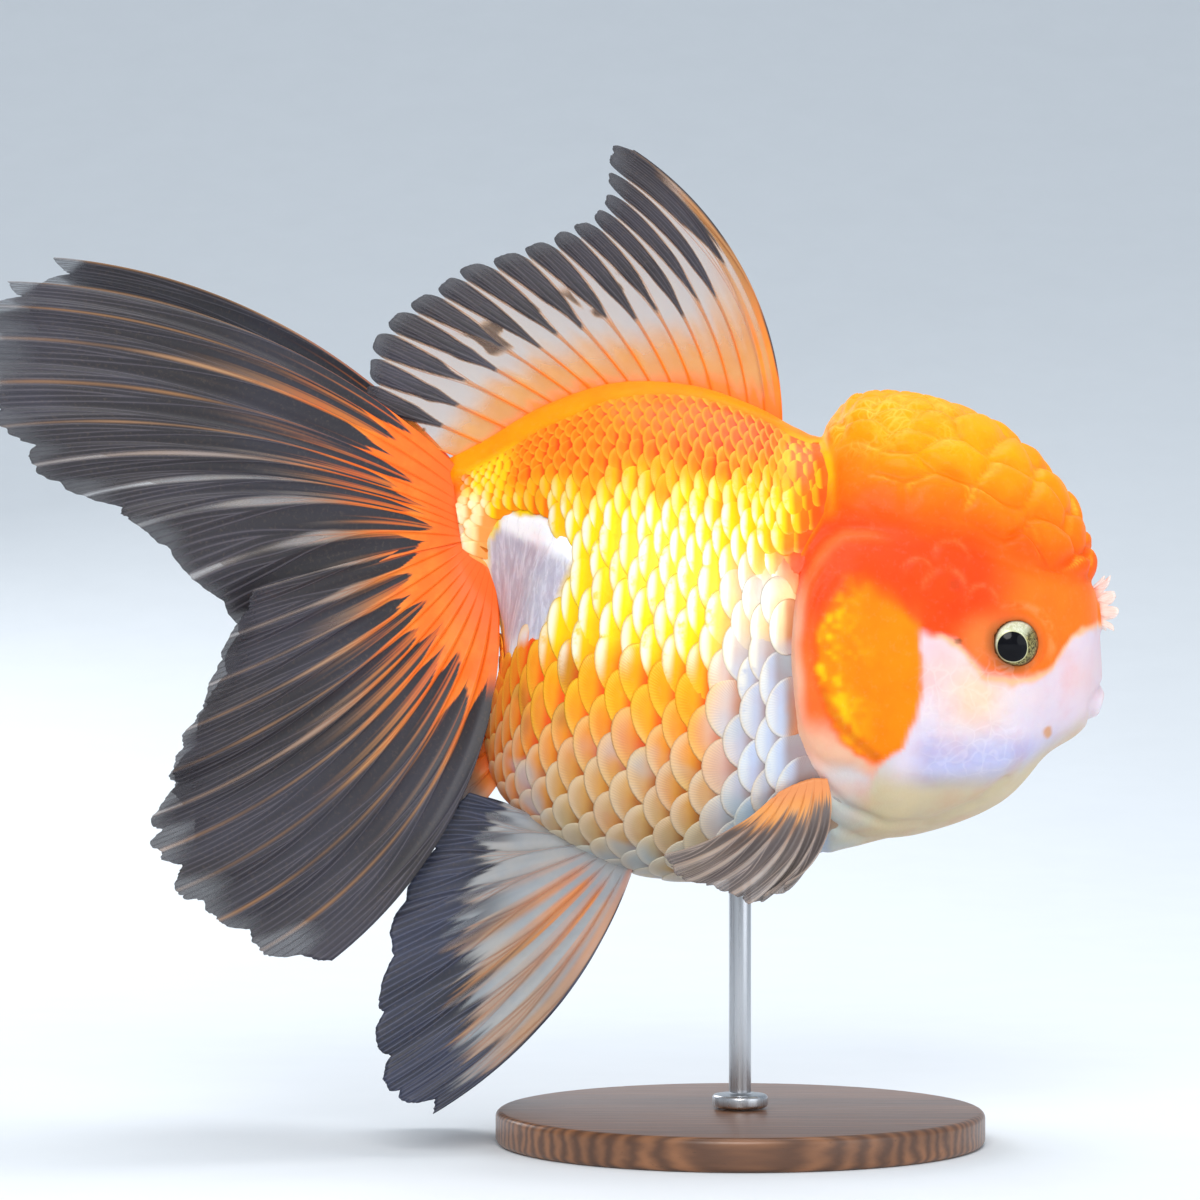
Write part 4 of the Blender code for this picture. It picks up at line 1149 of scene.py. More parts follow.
def pelvic_pattern(fin, place, out, middle):
    """Pale and clear at the base, streaked orange near the leading edge, slate outside."""
    share = place / (fin["rays"] - 1)
    off_ray = np.abs(place - np.round(place))
    thread = streaky(place, out, 8, 3, 4)
    broad = streaky(place, out, 2.2, 2, 14)
    begin = 0.74 - 0.16 * ramp(share, 0.1, 0.45) + 0.04 * ramp(share, 0.7, 1.0)
    begin = begin + 0.06 * thread + 0.08 * broad + 0.05 * streaky(place, out, 18, 4, 24)
    dark = ramp(out, begin, begin + 0.08)
    stray = ramp(thread + broad, 0.3, 0.7) * ramp(out, 0.36, 0.6) * ramp(share, 0.12, 0.3)
    lead = ramp(0.14 - place, 0, 0.08) * ramp(out, 0.04, 0.1)
    dark = np.clip(np.maximum(np.maximum(dark, 0.7 * stray), lead), 0, 1)
    beside = 1 - ramp(off_ray + 0.14 * thread, 0.12, 0.38)
    orange = beside * (1 - ramp(share, 0.35, 0.75)) * ramp(out, 0.03, 0.15) * (1 - ramp(out, 0.75, 0.95))
    orange = np.maximum(orange, 0.8 * ramp(0.9 - place, 0, 0.5) * (1 - ramp(out, 0.6, 0.9)))
    orange = orange * (0.6 + 0.4 * ramp(broad, -0.4, 0.4))
    clear = (1 - dark) * (0.75 + 0.2 * ramp(share, 0.3, 0.8)) * (1 - 0.6 * orange)
    return dark, orange, clear, soft_noise(middle, 10, 2) + 0.5 * thread


def pectoral_pattern(fin, place, out, middle):
    """A gold base, then grey-brown pleats with tan lines along the rays, partly the rays' own colour and
    partly painted highlight on the pleat ridges over painted shade in their valleys, and clear tips.
    """
    off_ray = np.abs(place - np.round(place))
    thread = streaky(place, out, 5, 3, 5)
    start = 0.06 + 0.2 * ramp(place / (fin["rays"] - 1), 0.2, 1.0)
    start = start + 0.07 * streaky(place, out, 14, 5, 15) + 0.06 * streaky(place, out, 3, 4, 16)
    # the pigment thins along each ray: partly the rays' own colour, partly painted highlight on the pleat
    # ridges and painted shade in the valleys
    dark = ramp(out + 0.07 * thread, start, start + 0.16) * (0.98 - 0.6 * (1 - ramp(off_ray, 0.06, 0.2)))
    dark = np.clip(dark + 0.15 * thread * ramp(out, 0.3, 0.5), 0, 1)
    orange = 1 - 0.85 * ramp(out + 0.08 * thread, start, start + 0.4)
    clear = ramp(out, 0.66, 0.98) * 0.6
    return dark, orange, clear, soft_noise(middle, 8, 2)


def anal_pattern(fin, place, out, middle):
    """Orange at the root and dark outside."""
    dark = ramp(out, 0.4, 0.75) * 0.85
    orange = 1 - ramp(out, 0.3, 0.7)
    clear = ramp(out, 0.3, 0.6) * 0.35
    return dark, orange, clear, soft_noise(middle, 8, 2)


def flap_pattern(fin, place, out, middle):
    """Orange with whitish frilled tips."""
    none = np.zeros_like(out)
    return none, 1 - 0.97 * ramp(out, 0.3, 0.65), 0.15 * ramp(out, 0.7, 1), none


# ---------------------------------------------------------------- eyes and stand


def turned(profile, corners, centre, axis, material, name):
    """A piece turned round an axis from a profile of radius and height, closed at both ends."""
    profile = np.asarray(profile, float)
    angle = np.arange(corners) / corners * 2 * math.pi
    axis = Vector(axis).normalized()
    helper = Vector((0, 0, 1)) if abs(axis.z) < 0.9 else Vector((1, 0, 0))
    wide = np.array(axis.cross(helper).normalized())
    tall = np.cross(np.array(axis), wide)
    radial = np.cos(angle)[:, None] * wide + np.sin(angle)[:, None] * tall
    rings = profile[:, 0, None, None] * radial[None] + profile[:, 1, None, None] * np.array(axis)
    points = rings.reshape(-1, 3) + centre
    faces = grid_faces(len(profile), corners, wrap=True)
    low = np.arange(corners)[::-1][None]
    high = ((len(profile) - 1) * corners + np.arange(corners))[None]
    radius = np.repeat(profile[:, 0], corners)
    share = np.repeat(np.linspace(0.02, 0.98, len(profile)), corners)
    turn = np.tile(angle / (2 * math.pi), len(profile))
    uv_points = np.stack([turn, share], axis=-1)
    shapes = [faces, low, high]
    corner_uv = []
    for shape in shapes:
        uv = uv_points[shape.ravel()].reshape(*shape.shape, 2).copy()
        if shape.shape[1] == 4:
            seam = (uv[..., 0].max(axis=1) - uv[..., 0].min(axis=1)) > 0.5
            uv[seam, :, 0] = np.where(uv[seam, :, 0] < 0.5, uv[seam, :, 0] + 1, uv[seam, :, 0])
        corner_uv.append(uv.reshape(-1, 2))
    marks = {"turned": np.stack([radius, np.repeat(profile[:, 1], corners), turn], axis=-1)}
    return new_piece(name, points, shapes, material, np.concatenate(corner_uv), marks)


def build_eye(side, material):
    """An eyeball sunk in its socket, looking out and a little forward."""
    name = "eye_right" if side == RIGHT else "eye_left"
    radius = EYE["radius"]
    axis = Vector((0.3, side, 0.02)).normalized()
    on_skin = np.array([EYE["middle"][0], side * EYE["skin_y"], EYE["middle"][1]])
    centre = on_skin - np.array(axis) * (radius - EYE["proud"])
    angle = np.radians(np.concatenate([np.linspace(178, 74, 12), np.linspace(70, 1.5, 56)]))
    profile = np.stack([radius * np.sin(angle), radius * np.cos(angle)], axis=-1)
    eye = turned(profile, 112, centre, axis, material, "eyeball_" + name[4:])
    mesh = eye.data
    places = np.empty(len(mesh.vertices) * 3, np.float32)
    mesh.vertices.foreach_get("co", places)
    gaze = places.reshape(-1, 3) / MM
    gaze = gaze - (PUPIL["middle"][0], 0, PUPIL["middle"][1] + FISH_HEIGHT)
    mesh.attributes.new("gaze", "FLOAT_VECTOR", "POINT").data.foreach_set(
        "vector", gaze.astype(np.float32).ravel()
    )
    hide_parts(name)
    return eye


def rounded_profile(radius, bottom, top, bevel, steps=6):
    """Profile of a disc with rounded edges, from its bottom to its top."""
    turn = np.linspace(0, math.pi / 2, steps)
    inner, sine, cosine = radius - bevel, bevel * np.sin(turn), bevel * np.cos(turn)
    low = np.stack([inner + sine, bottom + bevel - cosine], axis=-1)
    high = np.stack([inner + cosine, top - bevel + sine], axis=-1)
    return np.vstack([[(0.3, bottom)], low, high, [(0.3, top)]])


def build_stand(wood, steel):
    """A turned wooden base, a steel collar and the rod that carries the fish."""
    for node, name, material, slot, bevel in (
        ("stand_base", "turned_base", wood, "stand_wood", 1.2),
        ("stand_collar", "rod_collar", steel, "stand_metal", 0.7),
        ("stand_rod", "support_rod", steel, "stand_metal", 0.15),
    ):
        low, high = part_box(node)
        radius = (high[0] - low[0]) / 2 / MM
        bottom, top = low[2] / MM - FISH_HEIGHT, high[2] / MM - FISH_HEIGHT
        centre = np.array([(low[0] + high[0]) / 2 / MM, (low[1] + high[1]) / 2 / MM, 0.0])
        profile = rounded_profile(radius, bottom, top, bevel)
        piece = turned(profile, 128 if radius > 3 else 48, centre, (0, 0, 1), material, name)
        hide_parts(node)


# ---------------------------------------------------------------- materials


class Tree:
    """Adds nodes to a node tree: sockets are linked, and numbers and colours are set."""

    def __init__(self, tree):
        self.tree = tree

    def feed(self, socket, value):
        if isinstance(value, bpy.types.NodeSocket):
            self.tree.links.new(value, socket)
        else:
            socket.default_value = value

    def fill(self, sockets, values):
        for key, value in values.items():
            self.feed(sockets[key], value)

    def add(self, kind, inputs=None, **settings):
        node = self.tree.nodes.new("ShaderNode" + kind)
        for key, value in settings.items():
            setattr(node, key, value)
        self.fill(node.inputs, inputs or {})
        return node

    def math(self, operation, first, second=0.0):
        return self.add("Math", {0: first, 1: second}, operation=operation).outputs[0]

    def times(self, first, second):
        return self.math("MULTIPLY", first, second)

    def plus(self, first, second):
        return self.math("ADD", first, second)

    def minus(self, first, second):
        return self.math("SUBTRACT", first, second)

    def larger(self, first, second):
        return self.math("MAXIMUM", first, second)

    def positive(self, value):
        return self.math("ABSOLUTE", value)

    def length(self, first, second):
        """Length of a step whose two sides stand square to each other."""
        return self.math("SQRT", self.plus(self.times(first, first), self.times(second, second)))

    def rise(self, value, low, high):
        """Rises smoothly from 0 at low to 1 at high."""
        inputs = {"Value": value, "From Min": low, "From Max": high}
        return self.add("MapRange", inputs, interpolation_type="SMOOTHSTEP").outputs["Result"]

    def spread(self, value, low, high):
        """A value from 0 to 1 spread from low to high."""
        return self.add("MapRange", {"Value": value, "To Min": low, "To Max": high}).outputs[0]

    def mix(self, factor, first, second, kind="MIX"):
        node = self.add("Mix", data_type="RGBA", blend_type=kind)
        self.fill(node.inputs, {0: factor, 6: first, 7: second})
        return node.outputs[2]

    def tint(self, base, mask, amount, colour, kind="MIX"):
        """A colour changed towards a screen colour by an amount of a mask."""
        return self.mix(self.times(mask, amount), base, rgba(colour), kind)

    def two_tone(self, mask, first, second):
        """One screen colour where the mask is 0 and another where it is 1."""
        return self.mix(mask, rgba(first), rgba(second))

    def place(self):
        return self.add("TexCoord").outputs["Object"]

    def stretched(self, place, scale):
        return self.add("Mapping", {"Vector": place, "Scale": scale}).outputs[0]

    def noise(self, place, scale, detail=2.0, roughness=0.5, distortion=0.0):
        return self.add("TexNoise", {
            "Vector": place, "Scale": scale, "Detail": detail, "Roughness": roughness,
            "Distortion": distortion,
        }).outputs["Fac"]

    def cell_lines(self, place, scale, width):
        """Lines between rounded cells."""
        cells = self.add("TexVoronoi", {"Vector": place, "Scale": scale}, feature="DISTANCE_TO_EDGE")
        return self.rise(cells.outputs["Distance"], width, 0.02)

    def number(self, name):
        return self.add("Attribute", attribute_name=name).outputs["Fac"]

    def parts(self, name):
        vector = self.add("Attribute", attribute_name=name).outputs["Vector"]
        node = self.add("SeparateXYZ", {0: vector})
        return node.outputs["X"], node.outputs["Y"], node.outputs["Z"]

    def mottled(self, mottle, broad, fine):
        """The piece's own colours, broken up by the mottle group."""
        tint = self.add("Attribute", attribute_name="tint").outputs["Vector"]
        inputs = {"Colour": tint, "Broad": broad, "Fine": fine}
        return self.add("Group", inputs, node_tree=mottle).outputs[0]

    def bump(self, height, strength, distance):
        """A normal raised by a height; the distance is in metres."""
        inputs = {"Height": height, "Strength": strength, "Distance": distance}
        return self.add("Bump", inputs).outputs[0]


def new_group(name, inputs, outputs):
    """An empty shader node group with named sockets, and the tree helper for it."""
    group = bpy.data.node_groups.new(name, "ShaderNodeTree")
    for label, kind in inputs:
        group.interface.new_socket(label, in_out="INPUT", socket_type=kind)
    for label, kind in outputs:
        group.interface.new_socket(label, in_out="OUTPUT", socket_type=kind)
    tree = Tree(group)
    entry = group.nodes.new("NodeGroupInput")
    leave = group.nodes.new("NodeGroupOutput")
    return group, tree, entry.outputs, leave.inputs


def new_material(name):
    """A material with its Principled shader, and the tree helper for it."""
    material = bpy.data.materials.new(name)
    material.use_nodes = True
    shader = material.node_tree.nodes["Principled BSDF"]
    return material, Tree(material.node_tree), shader


COLOUR, NUMBER = "NodeSocketColor", "NodeSocketFloat"


def mottle_group():
    """Breaks up a colour: broad shifts of warmth, and fine pale and dark flecks."""
    group, tree, given, made = new_group(
        "mottle", [("Colour", COLOUR), ("Broad", NUMBER), ("Fine", NUMBER)], [("Colour", COLOUR)]
    )
    place = tree.place()
    broad = tree.noise(place, 130.0, 3.0, 0.55)
    fine = tree.noise(place, 900.0, 3.0, 0.6)
    colour = given["Colour"]
    for mask, amount, tint, kind in (
        (tree.rise(broad, 0.45, 0.7), given["Broad"], (255, 70, 10), "MULTIPLY"),
        (tree.rise(broad, 0.5, 0.28), given["Broad"], (255, 236, 190), "SOFT_LIGHT"),
        (tree.rise(fine, 0.52, 0.75), given["Fine"], (255, 250, 235), "SCREEN"),
        (tree.rise(fine, 0.45, 0.25), given["Fine"], (120, 60, 30), "MULTIPLY"),
    ):
        colour = tree.tint(colour, mask, amount, tint, kind)
    tree.feed(made["Colour"], colour)
    return group


def skin_material(mottle):
    """Wet, fleshy skin: the body's colours, yellow creases on the hood that are partly painted highlight,
    with painted shade below the lobes, and pale lips round a slit painted dark.
    """
    material, tree, shader = new_material("goldfish_skin")
    crease, hood = tree.number("crease"), tree.number("hood")
    lips, inner, bare = tree.parts("mouth")
    web, wrinkled, _ = tree.parts("network")
    colour = tree.mottled(mottle, 0.12, 0.02)
    place = tree.place()

    # creases: painted shade under the hood's lobes, and yellow lines along their upper edges, partly
    # their own colour and partly painted highlight; pearly on the face
    thread = tree.noise(place, 420.0, 3.0, 0.6)
    line = tree.larger(tree.times(crease, tree.rise(thread, 0.3, 0.62)), 0.0)
    # painted shade in the valleys below the hood's lobes
    valley = tree.larger(tree.times(crease, -1.0), 0.0)
    shaded = tree.tint(colour, valley, 0.35, (255, 150, 60), "MULTIPLY")
    yellow = tree.tint(shaded, line, 0.75, (255, 196, 60))
    pearly = tree.tint(colour, line, 0.4, (255, 176, 110))
    lined = tree.mix(hood, pearly, yellow)

    # the fine network of the cheek, and the wrinkles of the crown
    wobble = tree.add("TexNoise", {"Vector": place, "Scale": 170.0, "Detail": 2.0}).outputs["Color"]
    bent = tree.add(
        "VectorMath", {0: wobble, 1: (0.0055, 0.0055, 0.0055), 2: place}, operation="MULTIPLY_ADD"
    ).outputs[0]
    vein = tree.cell_lines(bent, 330.0, 0.1)
    wrinkle = tree.larger(vein, tree.times(tree.cell_lines(bent, 520.0, 0.12), 0.6))
    patchy = tree.times(wrinkled, tree.rise(tree.noise(place, 90.0, 2.0, 0.5), 0.42, 0.62))
    lined = tree.tint(lined, tree.times(vein, web), 0.12, (255, 248, 246))
    lined = tree.tint(lined, tree.times(wrinkle, patchy), 0.4, (255, 214, 90))

    # fibres of the silver patch, then the lips
    fibre = tree.noise(tree.stretched(place, (900.0, 900.0, 170.0)), 1.0, 4.0, 0.65, 0.6)
    fibrous = tree.tint(lined, tree.rise(fibre, 0.42, 0.68), tree.times(bare, 0.4), (250, 248, 255))
    fibrous = tree.tint(fibrous, tree.rise(fibre, 0.46, 0.3), tree.times(bare, 0.25), (160, 148, 168))
    lip = tree.tint(fibrous, lips, 0.6, (236, 228, 234))

    grain = tree.noise(place, 1500.0, 4.0, 0.6)
    pores = tree.noise(place, 2600.0, 2.0, 0.5)
    height = tree.plus(tree.times(grain, 0.6), tree.times(pores, 0.4))
    height = tree.plus(height, tree.times(fibre, tree.times(bare, 1.2)))
    height = tree.plus(height, tree.times(wrinkle, tree.times(patchy, 0.5)))
    # the mouth slit is painted dark: partly the mouth's own colour, partly painted shade of its opening
    tree.fill(shader.inputs, {
        "Base Color": tree.mix(inner, lip, rgba((120, 66, 56))),
        "Roughness": tree.spread(grain, 0.46, 0.6),
        "Metallic": tree.times(tree.number("shine"), 0.25),
        "Normal": tree.bump(height, 0.22, 0.0003),
        "Sheen Weight": 0.14, "Sheen Roughness": 0.4, "Sheen Tint": rgba((255, 190, 150)),
        "Subsurface Weight": 0.2, "Subsurface Radius": (1.0, 0.45, 0.2), "Subsurface Scale": 0.002,
        "Coat Weight": 0.06, "Coat Roughness": 0.25, "Specular IOR Level": 0.12,
    })
    return material


def scale_material(mottle):
    """Guanine-bright scales: painted shade where each tucks in under the one in front, a painted
    highlight as a bright crescent, and a pale free edge that is partly its own rim and partly painted
    highlight.
    """
    material, tree, shader = new_material("goldfish_scales")
    wide, tall, own = tree.parts("scale")
    shine, golden = tree.number("shine"), tree.number("golden")
    colour = tree.mottled(mottle, 0.12, 0.015)
    place = tree.place()
    radius = tree.length(wide, tall)

    # fine lines that fan out to the free edge
    turn = tree.math("ARCTAN2", tall, tree.plus(wide, 0.35))
    stria = tree.rise(tree.math("SINE", tree.times(turn, 84.0)), -0.4, 1.0)
    stria = tree.times(stria, tree.rise(radius, 0.4, 0.85))
    stria = tree.times(stria, tree.rise(shine, 0.9, 0.5))

    # painted shade on the tucked part, a painted highlight as the bright crescent, and the pearly or
    # bluish pale scales
    shadow_tint = tree.two_tone(golden, (206, 168, 140), (255, 150, 20))
    tucked_shade = tree.times(tree.rise(wide, 0.45, 0.0), tree.rise(shine, 1.5, 0.3))
    deep = tree.mix(tucked_shade, colour, shadow_tint, "MULTIPLY")
    crescent_highlight = tree.rise(tree.noise(place, 320.0, 3.0, 0.6), 0.25, 0.5)
    crescent_highlight = tree.times(tree.rise(wide, 0.42, 0.8), crescent_highlight)
    crescent_highlight = tree.times(crescent_highlight, tree.rise(tree.positive(tall), 0.95, 0.45))
    crescent_highlight = tree.times(crescent_highlight, tree.rise(shine, 0.4, 0.95))
    bright = tree.tint(deep, crescent_highlight, 0.85, (255, 255, 236))
    pearl = tree.times(tree.rise(wide, 0.25, 0.85), tree.minus(1.0, golden))
    pearled = tree.tint(bright, pearl, 0.22, (206, 218, 222))
    wash = tree.rise(tree.noise(place, 75.0, 2.0, 0.5), 0.47, 0.66)
    wash = tree.times(wash, tree.rise(golden, 0.9, 0.1))
    pearled = tree.tint(pearled, wash, 0.5, (158, 186, 204))
    lit = tree.tint(pearled, stria, 0.32, (255, 236, 196), "SOFT_LIGHT")

    # the pale rim along the free edge, partly the scale's own edge and partly painted highlight, broad on
    # dull scales and narrow on bright ones; and each scale's own tone
    broad_rim = tree.times(tree.rise(radius, 0.62, 1.0), tree.rise(shine, 0.6, 0.35))
    narrow_rim = tree.times(tree.rise(radius, 0.86, 0.97), tree.rise(shine, 0.35, 0.6))
    edge = tree.times(tree.plus(broad_rim, narrow_rim), tree.rise(wide, -0.1, 0.5))
    rim_tint = tree.two_tone(golden, (236, 220, 190), (255, 208, 60))
    rimmed = tree.mix(tree.times(edge, 0.38), lit, rim_tint)

    grain = tree.noise(place, 1400.0, 3.0, 0.6)
    height = tree.plus(tree.times(stria, 0.5), tree.times(grain, 0.5))
    tree.fill(shader.inputs, {
        "Base Color": tree.tint(rimmed, tree.rise(own, 0.4, 1.0), 0.22, (255, 196, 128), "MULTIPLY"),
        "Roughness": tree.spread(grain, 0.3, 0.46),
        "Metallic": tree.times(shine, 0.22),
        "Normal": tree.bump(height, 0.3, 0.0002),
        "Coat Weight": 0.12, "Coat Roughness": 0.15, "Specular IOR Level": 0.2,
    })
    return material


def shifted(colour, times, plus=(0, 0, 0)):
    """A screen colour with each part multiplied and raised."""
    return [part * times_part + more for part, times_part, more in zip(colour, times, plus)]


def fin_material(name, dark, orange, pale, clear_alpha, dark_alpha, ray_tint=0.4):
    """Fin web: fine branching rays, dark pigment, orange streaks and clear windows."""
    material, tree, shader = new_material(name)
    place, out, tanned = tree.parts("fan")
    dark_mask, orange_mask, clear_mask = tree.parts("masks")

    # the rays: each forks three times on its way out
    fold = tree.positive(tree.minus(place, tree.math("ROUND", place)))
    for start, end, half_gap in ((0.3, 0.75, 0.25), (0.5, 0.9, 0.125), (0.2, 0.6, 0.0625)):
        fold = tree.positive(tree.minus(fold, tree.times(tree.rise(out, start, end), half_gap)))
    line = tree.rise(fold, 0.026, 0.006)
    valley = tree.rise(fold, 0.03, 0.06)

    # pale and orange web
    object_place = tree.place()
    cloud = tree.noise(object_place, 120.0, 4.0, 0.6)
    grain = tree.noise(object_place, 1500.0, 3.0, 0.65)
    warmed = shifted(pale, (0.8, 0.8, 0.8), (50, 43, 35))
    pale_tint = tree.two_tone(tree.rise(cloud, 0.35, 0.7), pale, warmed)
    amber = tree.times(tree.rise(cloud, 0.4, 0.62), tree.rise(out, 0.02, 0.16))
    warm = tree.two_tone(tree.rise(out, 0.0, 0.2), shifted(orange, (1, 0.9, 0.9)), orange)
    warm = tree.tint(warm, amber, 0.5, (240, 150, 50))
    warm = tree.tint(warm, tree.rise(out, 0.18, 0.5), tanned, (184, 132, 82))
    base = tree.mix(orange_mask, pale_tint, warm)

    # dark pigment, streaked along the rays
    blued = shifted(dark, (1.08, 1.12, 1.22), (6, 6, 6))
    black = tree.two_tone(tree.rise(tree.number("tone"), -0.6, 0.9), dark, blued)
    black = tree.tint(black, line, 0.42, shifted(dark, (1.8, 1.8, 1.8), (18, 18, 18)))
    black = tree.tint(black, valley, 0.35, shifted(dark, (0.6, 0.6, 0.6)))
    worn = tree.tint(black, tree.rise(grain, 0.5, 0.8), 0.14, (140, 118, 96))
    inked = tree.mix(dark_mask, base, worn)
    open_line = tree.times(line, tree.minus(1.0, dark_mask))
    rayed = tree.tint(inked, open_line, ray_tint, (236, 140, 70), "MULTIPLY")
    tip_line = tree.times(line, tree.times(clear_mask, dark_mask))

    # clear windows
    solid = tree.larger(tree.times(dark_mask, dark_alpha), tree.times(orange_mask, 0.95))
    web = tree.plus(clear_alpha, tree.times(line, 0.35))
    thin = tree.larger(web, tree.times(solid, 0.35))
    height = tree.plus(tree.times(line, 0.8), tree.times(grain, 0.25))
    tree.fill(shader.inputs, {
        "Base Color": tree.tint(rayed, tip_line, 0.8, shifted(dark, (0.7, 0.7, 0.7))),
        "Alpha": tree.mix(clear_mask, tree.larger(solid, 0.72), thin),
        "Roughness": tree.spread(grain, 0.4, 0.56),
        "Normal": tree.bump(height, 0.5, 0.0003),
        "Coat Weight": 0.08, "Coat Roughness": 0.25, "Specular IOR Level": 0.3,
    })
    return material


def eye_material():
    """A black pupil in a silver and olive-gold iris, under a clear wet front."""
    material, tree, shader = new_material("goldfish_eye")
    ahead, _, up = tree.parts("gaze")
    pupil = PUPIL["radius"]
    lean = tree.minus(tree.times(ahead, 0.7), tree.times(up, 0.7))
    reach = tree.length(ahead, up)
    point = tree.math("DIVIDE", lean, tree.larger(reach, 0.01))
    point = tree.times(tree.math("POWER", tree.larger(point, 0.0), 5.0), 0.22)
    radius = tree.minus(reach, point)

    streak = tree.noise(tree.place(), 1700.0, 4.0, 0.7, 0.8)
    silver = tree.two_tone(tree.rise(streak, 0.35, 0.7), (196, 200, 160), (232, 234, 214))
    olive = tree.two_tone(tree.rise(streak, 0.38, 0.62), (58, 50, 30), (160, 150, 96))
    side = tree.rise(tree.minus(ahead, tree.times(up, 0.9)), -0.6, 1.6)
    iris = tree.mix(side, silver, olive)
    ring = tree.mix(tree.rise(radius, pupil + 0.2, pupil + 0.08), iris, rgba((206, 204, 160)))
    front = tree.mix(tree.rise(radius, pupil + 0.06, pupil - 0.04), ring, rgba((7, 7, 13)))

    across = tree.minus(ahead, EYE["middle"][0] - PUPIL["middle"][0])
    along = tree.minus(up, EYE["middle"][1] - PUPIL["middle"][1])
    behind = tree.rise(tree.length(across, along), EYE["opening"] - 0.35, EYE["opening"] + 0.1)
    rough = tree.rise(radius, pupil - 0.1, pupil + 0.1)
    tree.fill(shader.inputs, {
        "Base Color": tree.mix(behind, front, rgba((96, 62, 34))),
        "Roughness": tree.plus(0.15, tree.times(rough, 0.25)),
        "Metallic": tree.times(rough, 0.3),
        "Coat Weight": 0.14, "Coat Roughness": 0.05, "Specular IOR Level": 0.08,
    })
    return material


def wood_material():
    """Dark turned walnut with a satin finish."""
    material, tree, shader = new_material("turned_walnut")
    place = tree.place()
    drawn = tree.stretched(place, (18.0, 160.0, 160.0))
    rings = tree.add("TexWave", {
        "Vector": drawn, "Scale": 0.9, "Distortion": 5.0, "Detail": 3.0, "Detail Scale": 1.4,
    }, bands_direction="Y").outputs["Fac"]
    pores = tree.noise(tree.stretched(place, (90.0, 1500.0, 1500.0)), 1.0, 4.0, 0.7)
    warm = tree.two_tone(rings, (92, 58, 36), (148, 98, 62))
    deep = tree.tint(warm, tree.rise(tree.noise(drawn, 0.6, 3.0), 0.4, 0.7), 0.5, (70, 42, 26))
    tree.fill(shader.inputs, {
        "Base Color": tree.tint(deep, tree.rise(pores, 0.62, 0.75), 0.6, (40, 24, 16)),
        "Roughness": tree.spread(pores, 0.3, 0.48),
        "Normal": tree.bump(pores, 0.15, 0.0003),
        "Coat Weight": 0.25, "Coat Roughness": 0.25,
    })
    return material


def steel_material():
    """Brushed stainless steel."""
    material, tree, shader = new_material("brushed_steel")
    lines = tree.noise(tree.stretched(tree.place(), (2500.0, 2500.0, 60.0)), 1.0, 4.0, 0.7)
    tree.fill(shader.inputs, {
        "Base Color": tree.two_tone(lines, (168, 170, 174), (206, 208, 212)),
        "Roughness": tree.spread(lines, 0.2, 0.38),
        "Normal": tree.bump(lines, 0.08, 0.0001),
        "Metallic": 1.0,
    })
    return material


# ---------------------------------------------------------------- studio

CAMERA_PLACE = (-25.2, -800.0, 97.6)
SENSOR, LENS = 36.0, 133.33
# The backdrop, in metres: half its width, its top, and where its bend starts and how round it is
BACKDROP_REACH, BACKDROP_TOP = 9.0, 4.5
BEND_START, BEND_RADIUS = 0.3, 2.2


def build_camera():
    """A level camera at the height of the fish's middle."""
    camera = bpy.data.objects.new("camera", bpy.data.cameras.new("camera"))
    bpy.context.collection.objects.link(camera)
    camera.location = Vector(CAMERA_PLACE) * MM
    camera.rotation_euler = (math.pi / 2, 0, 0)
    camera.data.sensor_width = SENSOR
    camera.data.lens = LENS
    camera.data.clip_start, camera.data.clip_end = 0.01, 20
    bpy.context.scene.camera = camera


def build_backdrop():
    """A pale floor that curves up into a pale wall behind."""
    turn = np.linspace(0, math.pi / 2, 40)
    bend = np.stack([BEND_START + BEND_RADIUS * np.sin(turn), BEND_RADIUS * (1 - np.cos(turn))], axis=-1)
    ends = (-BACKDROP_REACH, 0.0), (BEND_START + BEND_RADIUS, BACKDROP_TOP)
    line = np.vstack([ends[:1], bend, ends[1:]])
    vertices = [(x, y, z) for y, z in line for x in (-BACKDROP_REACH, BACKDROP_REACH)]
    mesh = bpy.data.meshes.new("backdrop")
    mesh.from_pydata(vertices, [], grid_faces(len(line), 2).tolist())
    for face in mesh.polygons:
        face.use_smooth = True
    material, tree, shader = new_material("studio_paper")
    fibre = tree.noise(tree.place(), 40.0, 4.0, 0.6)
    tree.fill(shader.inputs, {
        "Base Color": tree.two_tone(fibre, (228, 233, 238), (233, 238, 243)), "Roughness": 0.85,
    })
    mesh.materials.append(material)
    backdrop = bpy.data.objects.new("backdrop", mesh)
    bpy.context.collection.objects.link(backdrop)


def area_light(name, place, target, size, power, tint):
    """A soft lamp that faces a point; places are in metres."""
    light = bpy.data.objects.new(name, bpy.data.lights.new(name, "AREA"))
    light.data.shape = "DISK"
    light.data.size = size
    light.data.energy = power
    light.data.color = tint
    light.location = place
    light.rotation_euler = (Vector(target) - Vector(place)).to_track_quat("-Z", "Y").to_euler()
    bpy.context.collection.objects.link(light)


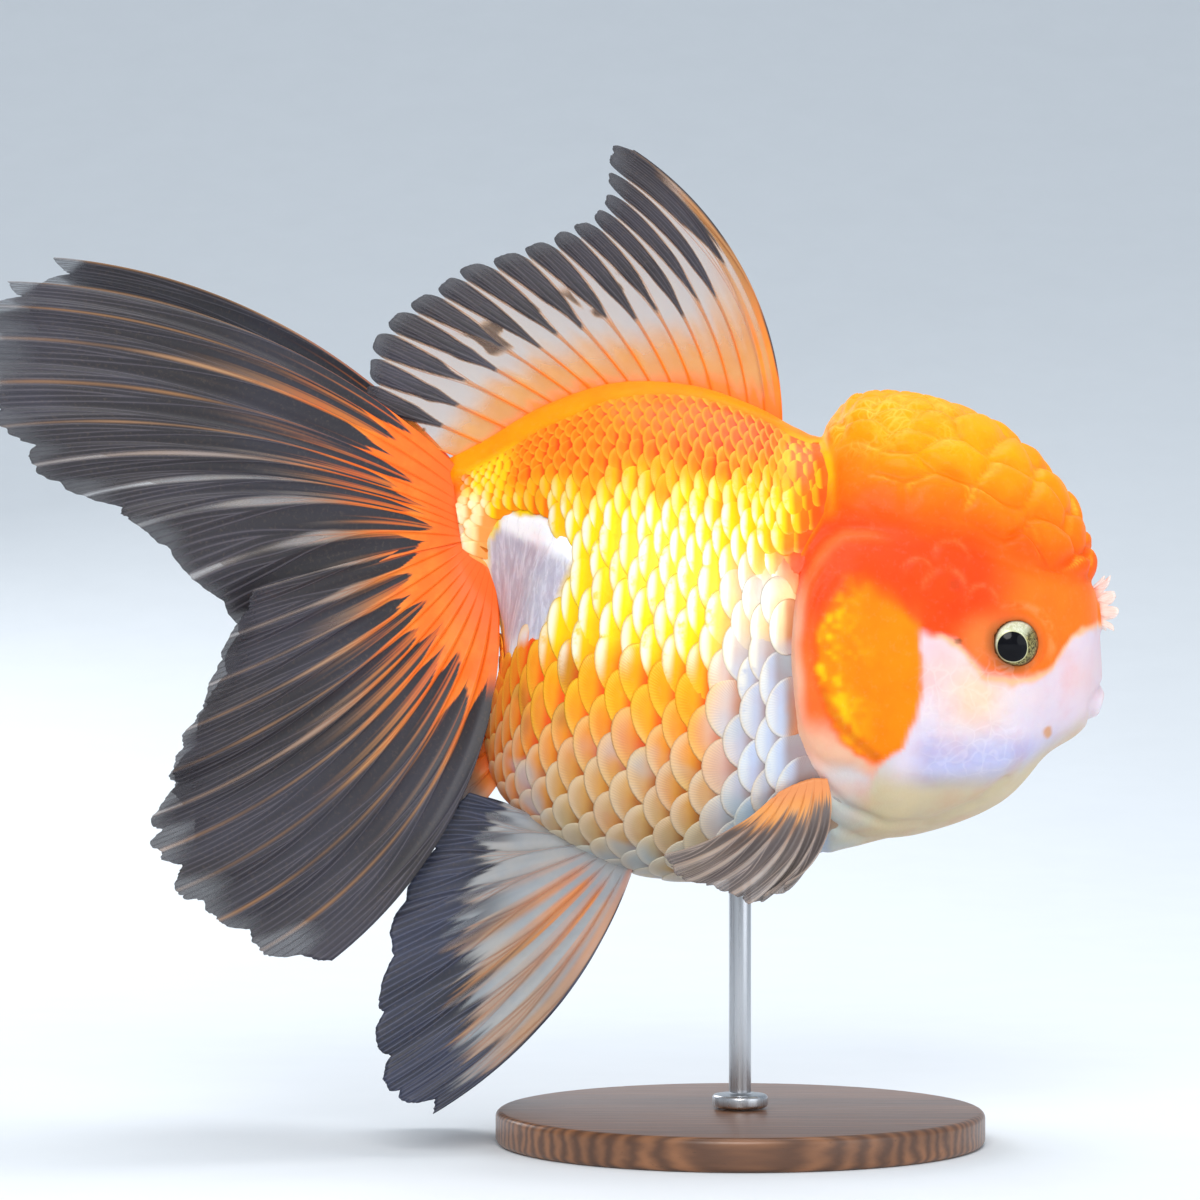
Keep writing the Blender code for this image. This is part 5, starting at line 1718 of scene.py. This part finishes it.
def build_lights():
    """A soft key above the camera, a top light, a fill and a pale surround."""
    fish = (-0.02, 0.0, 0.1)
    area_light("key", (-0.08, -1.0, 0.68), fish, 0.6, 7.6, (1.0, 0.98, 0.95))
    area_light("top", (0.1, 0.15, 0.95), fish, 0.7, 3.6, (1.0, 1.0, 1.0))
    area_light("fill", (0.8, -0.6, 0.25), fish, 0.8, 2.4, (0.92, 0.96, 1.0))
    area_light("back", (-0.5, 0.7, 0.5), fish, 0.5, 2.6, (1.0, 1.0, 1.0))
    world = bpy.data.worlds.new("studio")
    world.use_nodes = True
    world.node_tree.nodes["Background"].inputs["Color"].default_value = rgba((224, 232, 240))
    world.node_tree.nodes["Background"].inputs["Strength"].default_value = 0.72
    bpy.context.scene.world = world
    bpy.context.scene.view_settings.view_transform = "Standard"


build_camera()
build_backdrop()
build_lights()

mottle = mottle_group()
build_skin(skin_material(mottle))
scales = scale_material(mottle)
build_scales(RIGHT, 11, scales)
build_scales(LEFT, 12, scales)

tail_web = fin_material("tail_web", (46, 43, 48), (255, 116, 26), (200, 204, 210), 0.22, 0.97)
dorsal_web = fin_material("dorsal_web", (52, 48, 53), (255, 132, 10), (222, 146, 30), 0.1, 0.95)
pelvic_web = fin_material("pelvic_web", (46, 48, 60), (222, 136, 72), (160, 166, 172), 0.5, 0.95)
pectoral_web = fin_material("pectoral_web", (112, 100, 94), (228, 160, 96), (186, 180, 174), 0.45, 0.95)
flap_skin = fin_material("nose_flap_skin", (200, 90, 40), (255, 140, 50), (255, 244, 238), 0.85, 1.0, 0.1)
iris = eye_material()
build_fin("dorsal_fin", RIGHT, 340, 80, dorsal_pattern, dorsal_web)
for side, word in ((RIGHT, "right"), (LEFT, "left")):
    for name, columns, rows, pattern, web in (
        ("tail_fin_upper_", 260, 100, upper_tail_pattern, tail_web),
        ("tail_fin_lower_", 280, 90, lower_tail_pattern, tail_web),
        ("pelvic_fin_", 220, 70, pelvic_pattern, pelvic_web),
        ("pectoral_fin_", 180, 50, pectoral_pattern, pectoral_web),
        ("anal_fin_", 120, 40, anal_pattern, tail_web),
        ("nose_flap_", 60, 24, flap_pattern, flap_skin),
    ):
        build_fin(name + word, side, columns, rows, pattern, web)
    build_eye(side, iris)
build_stand(wood_material(), steel_material())
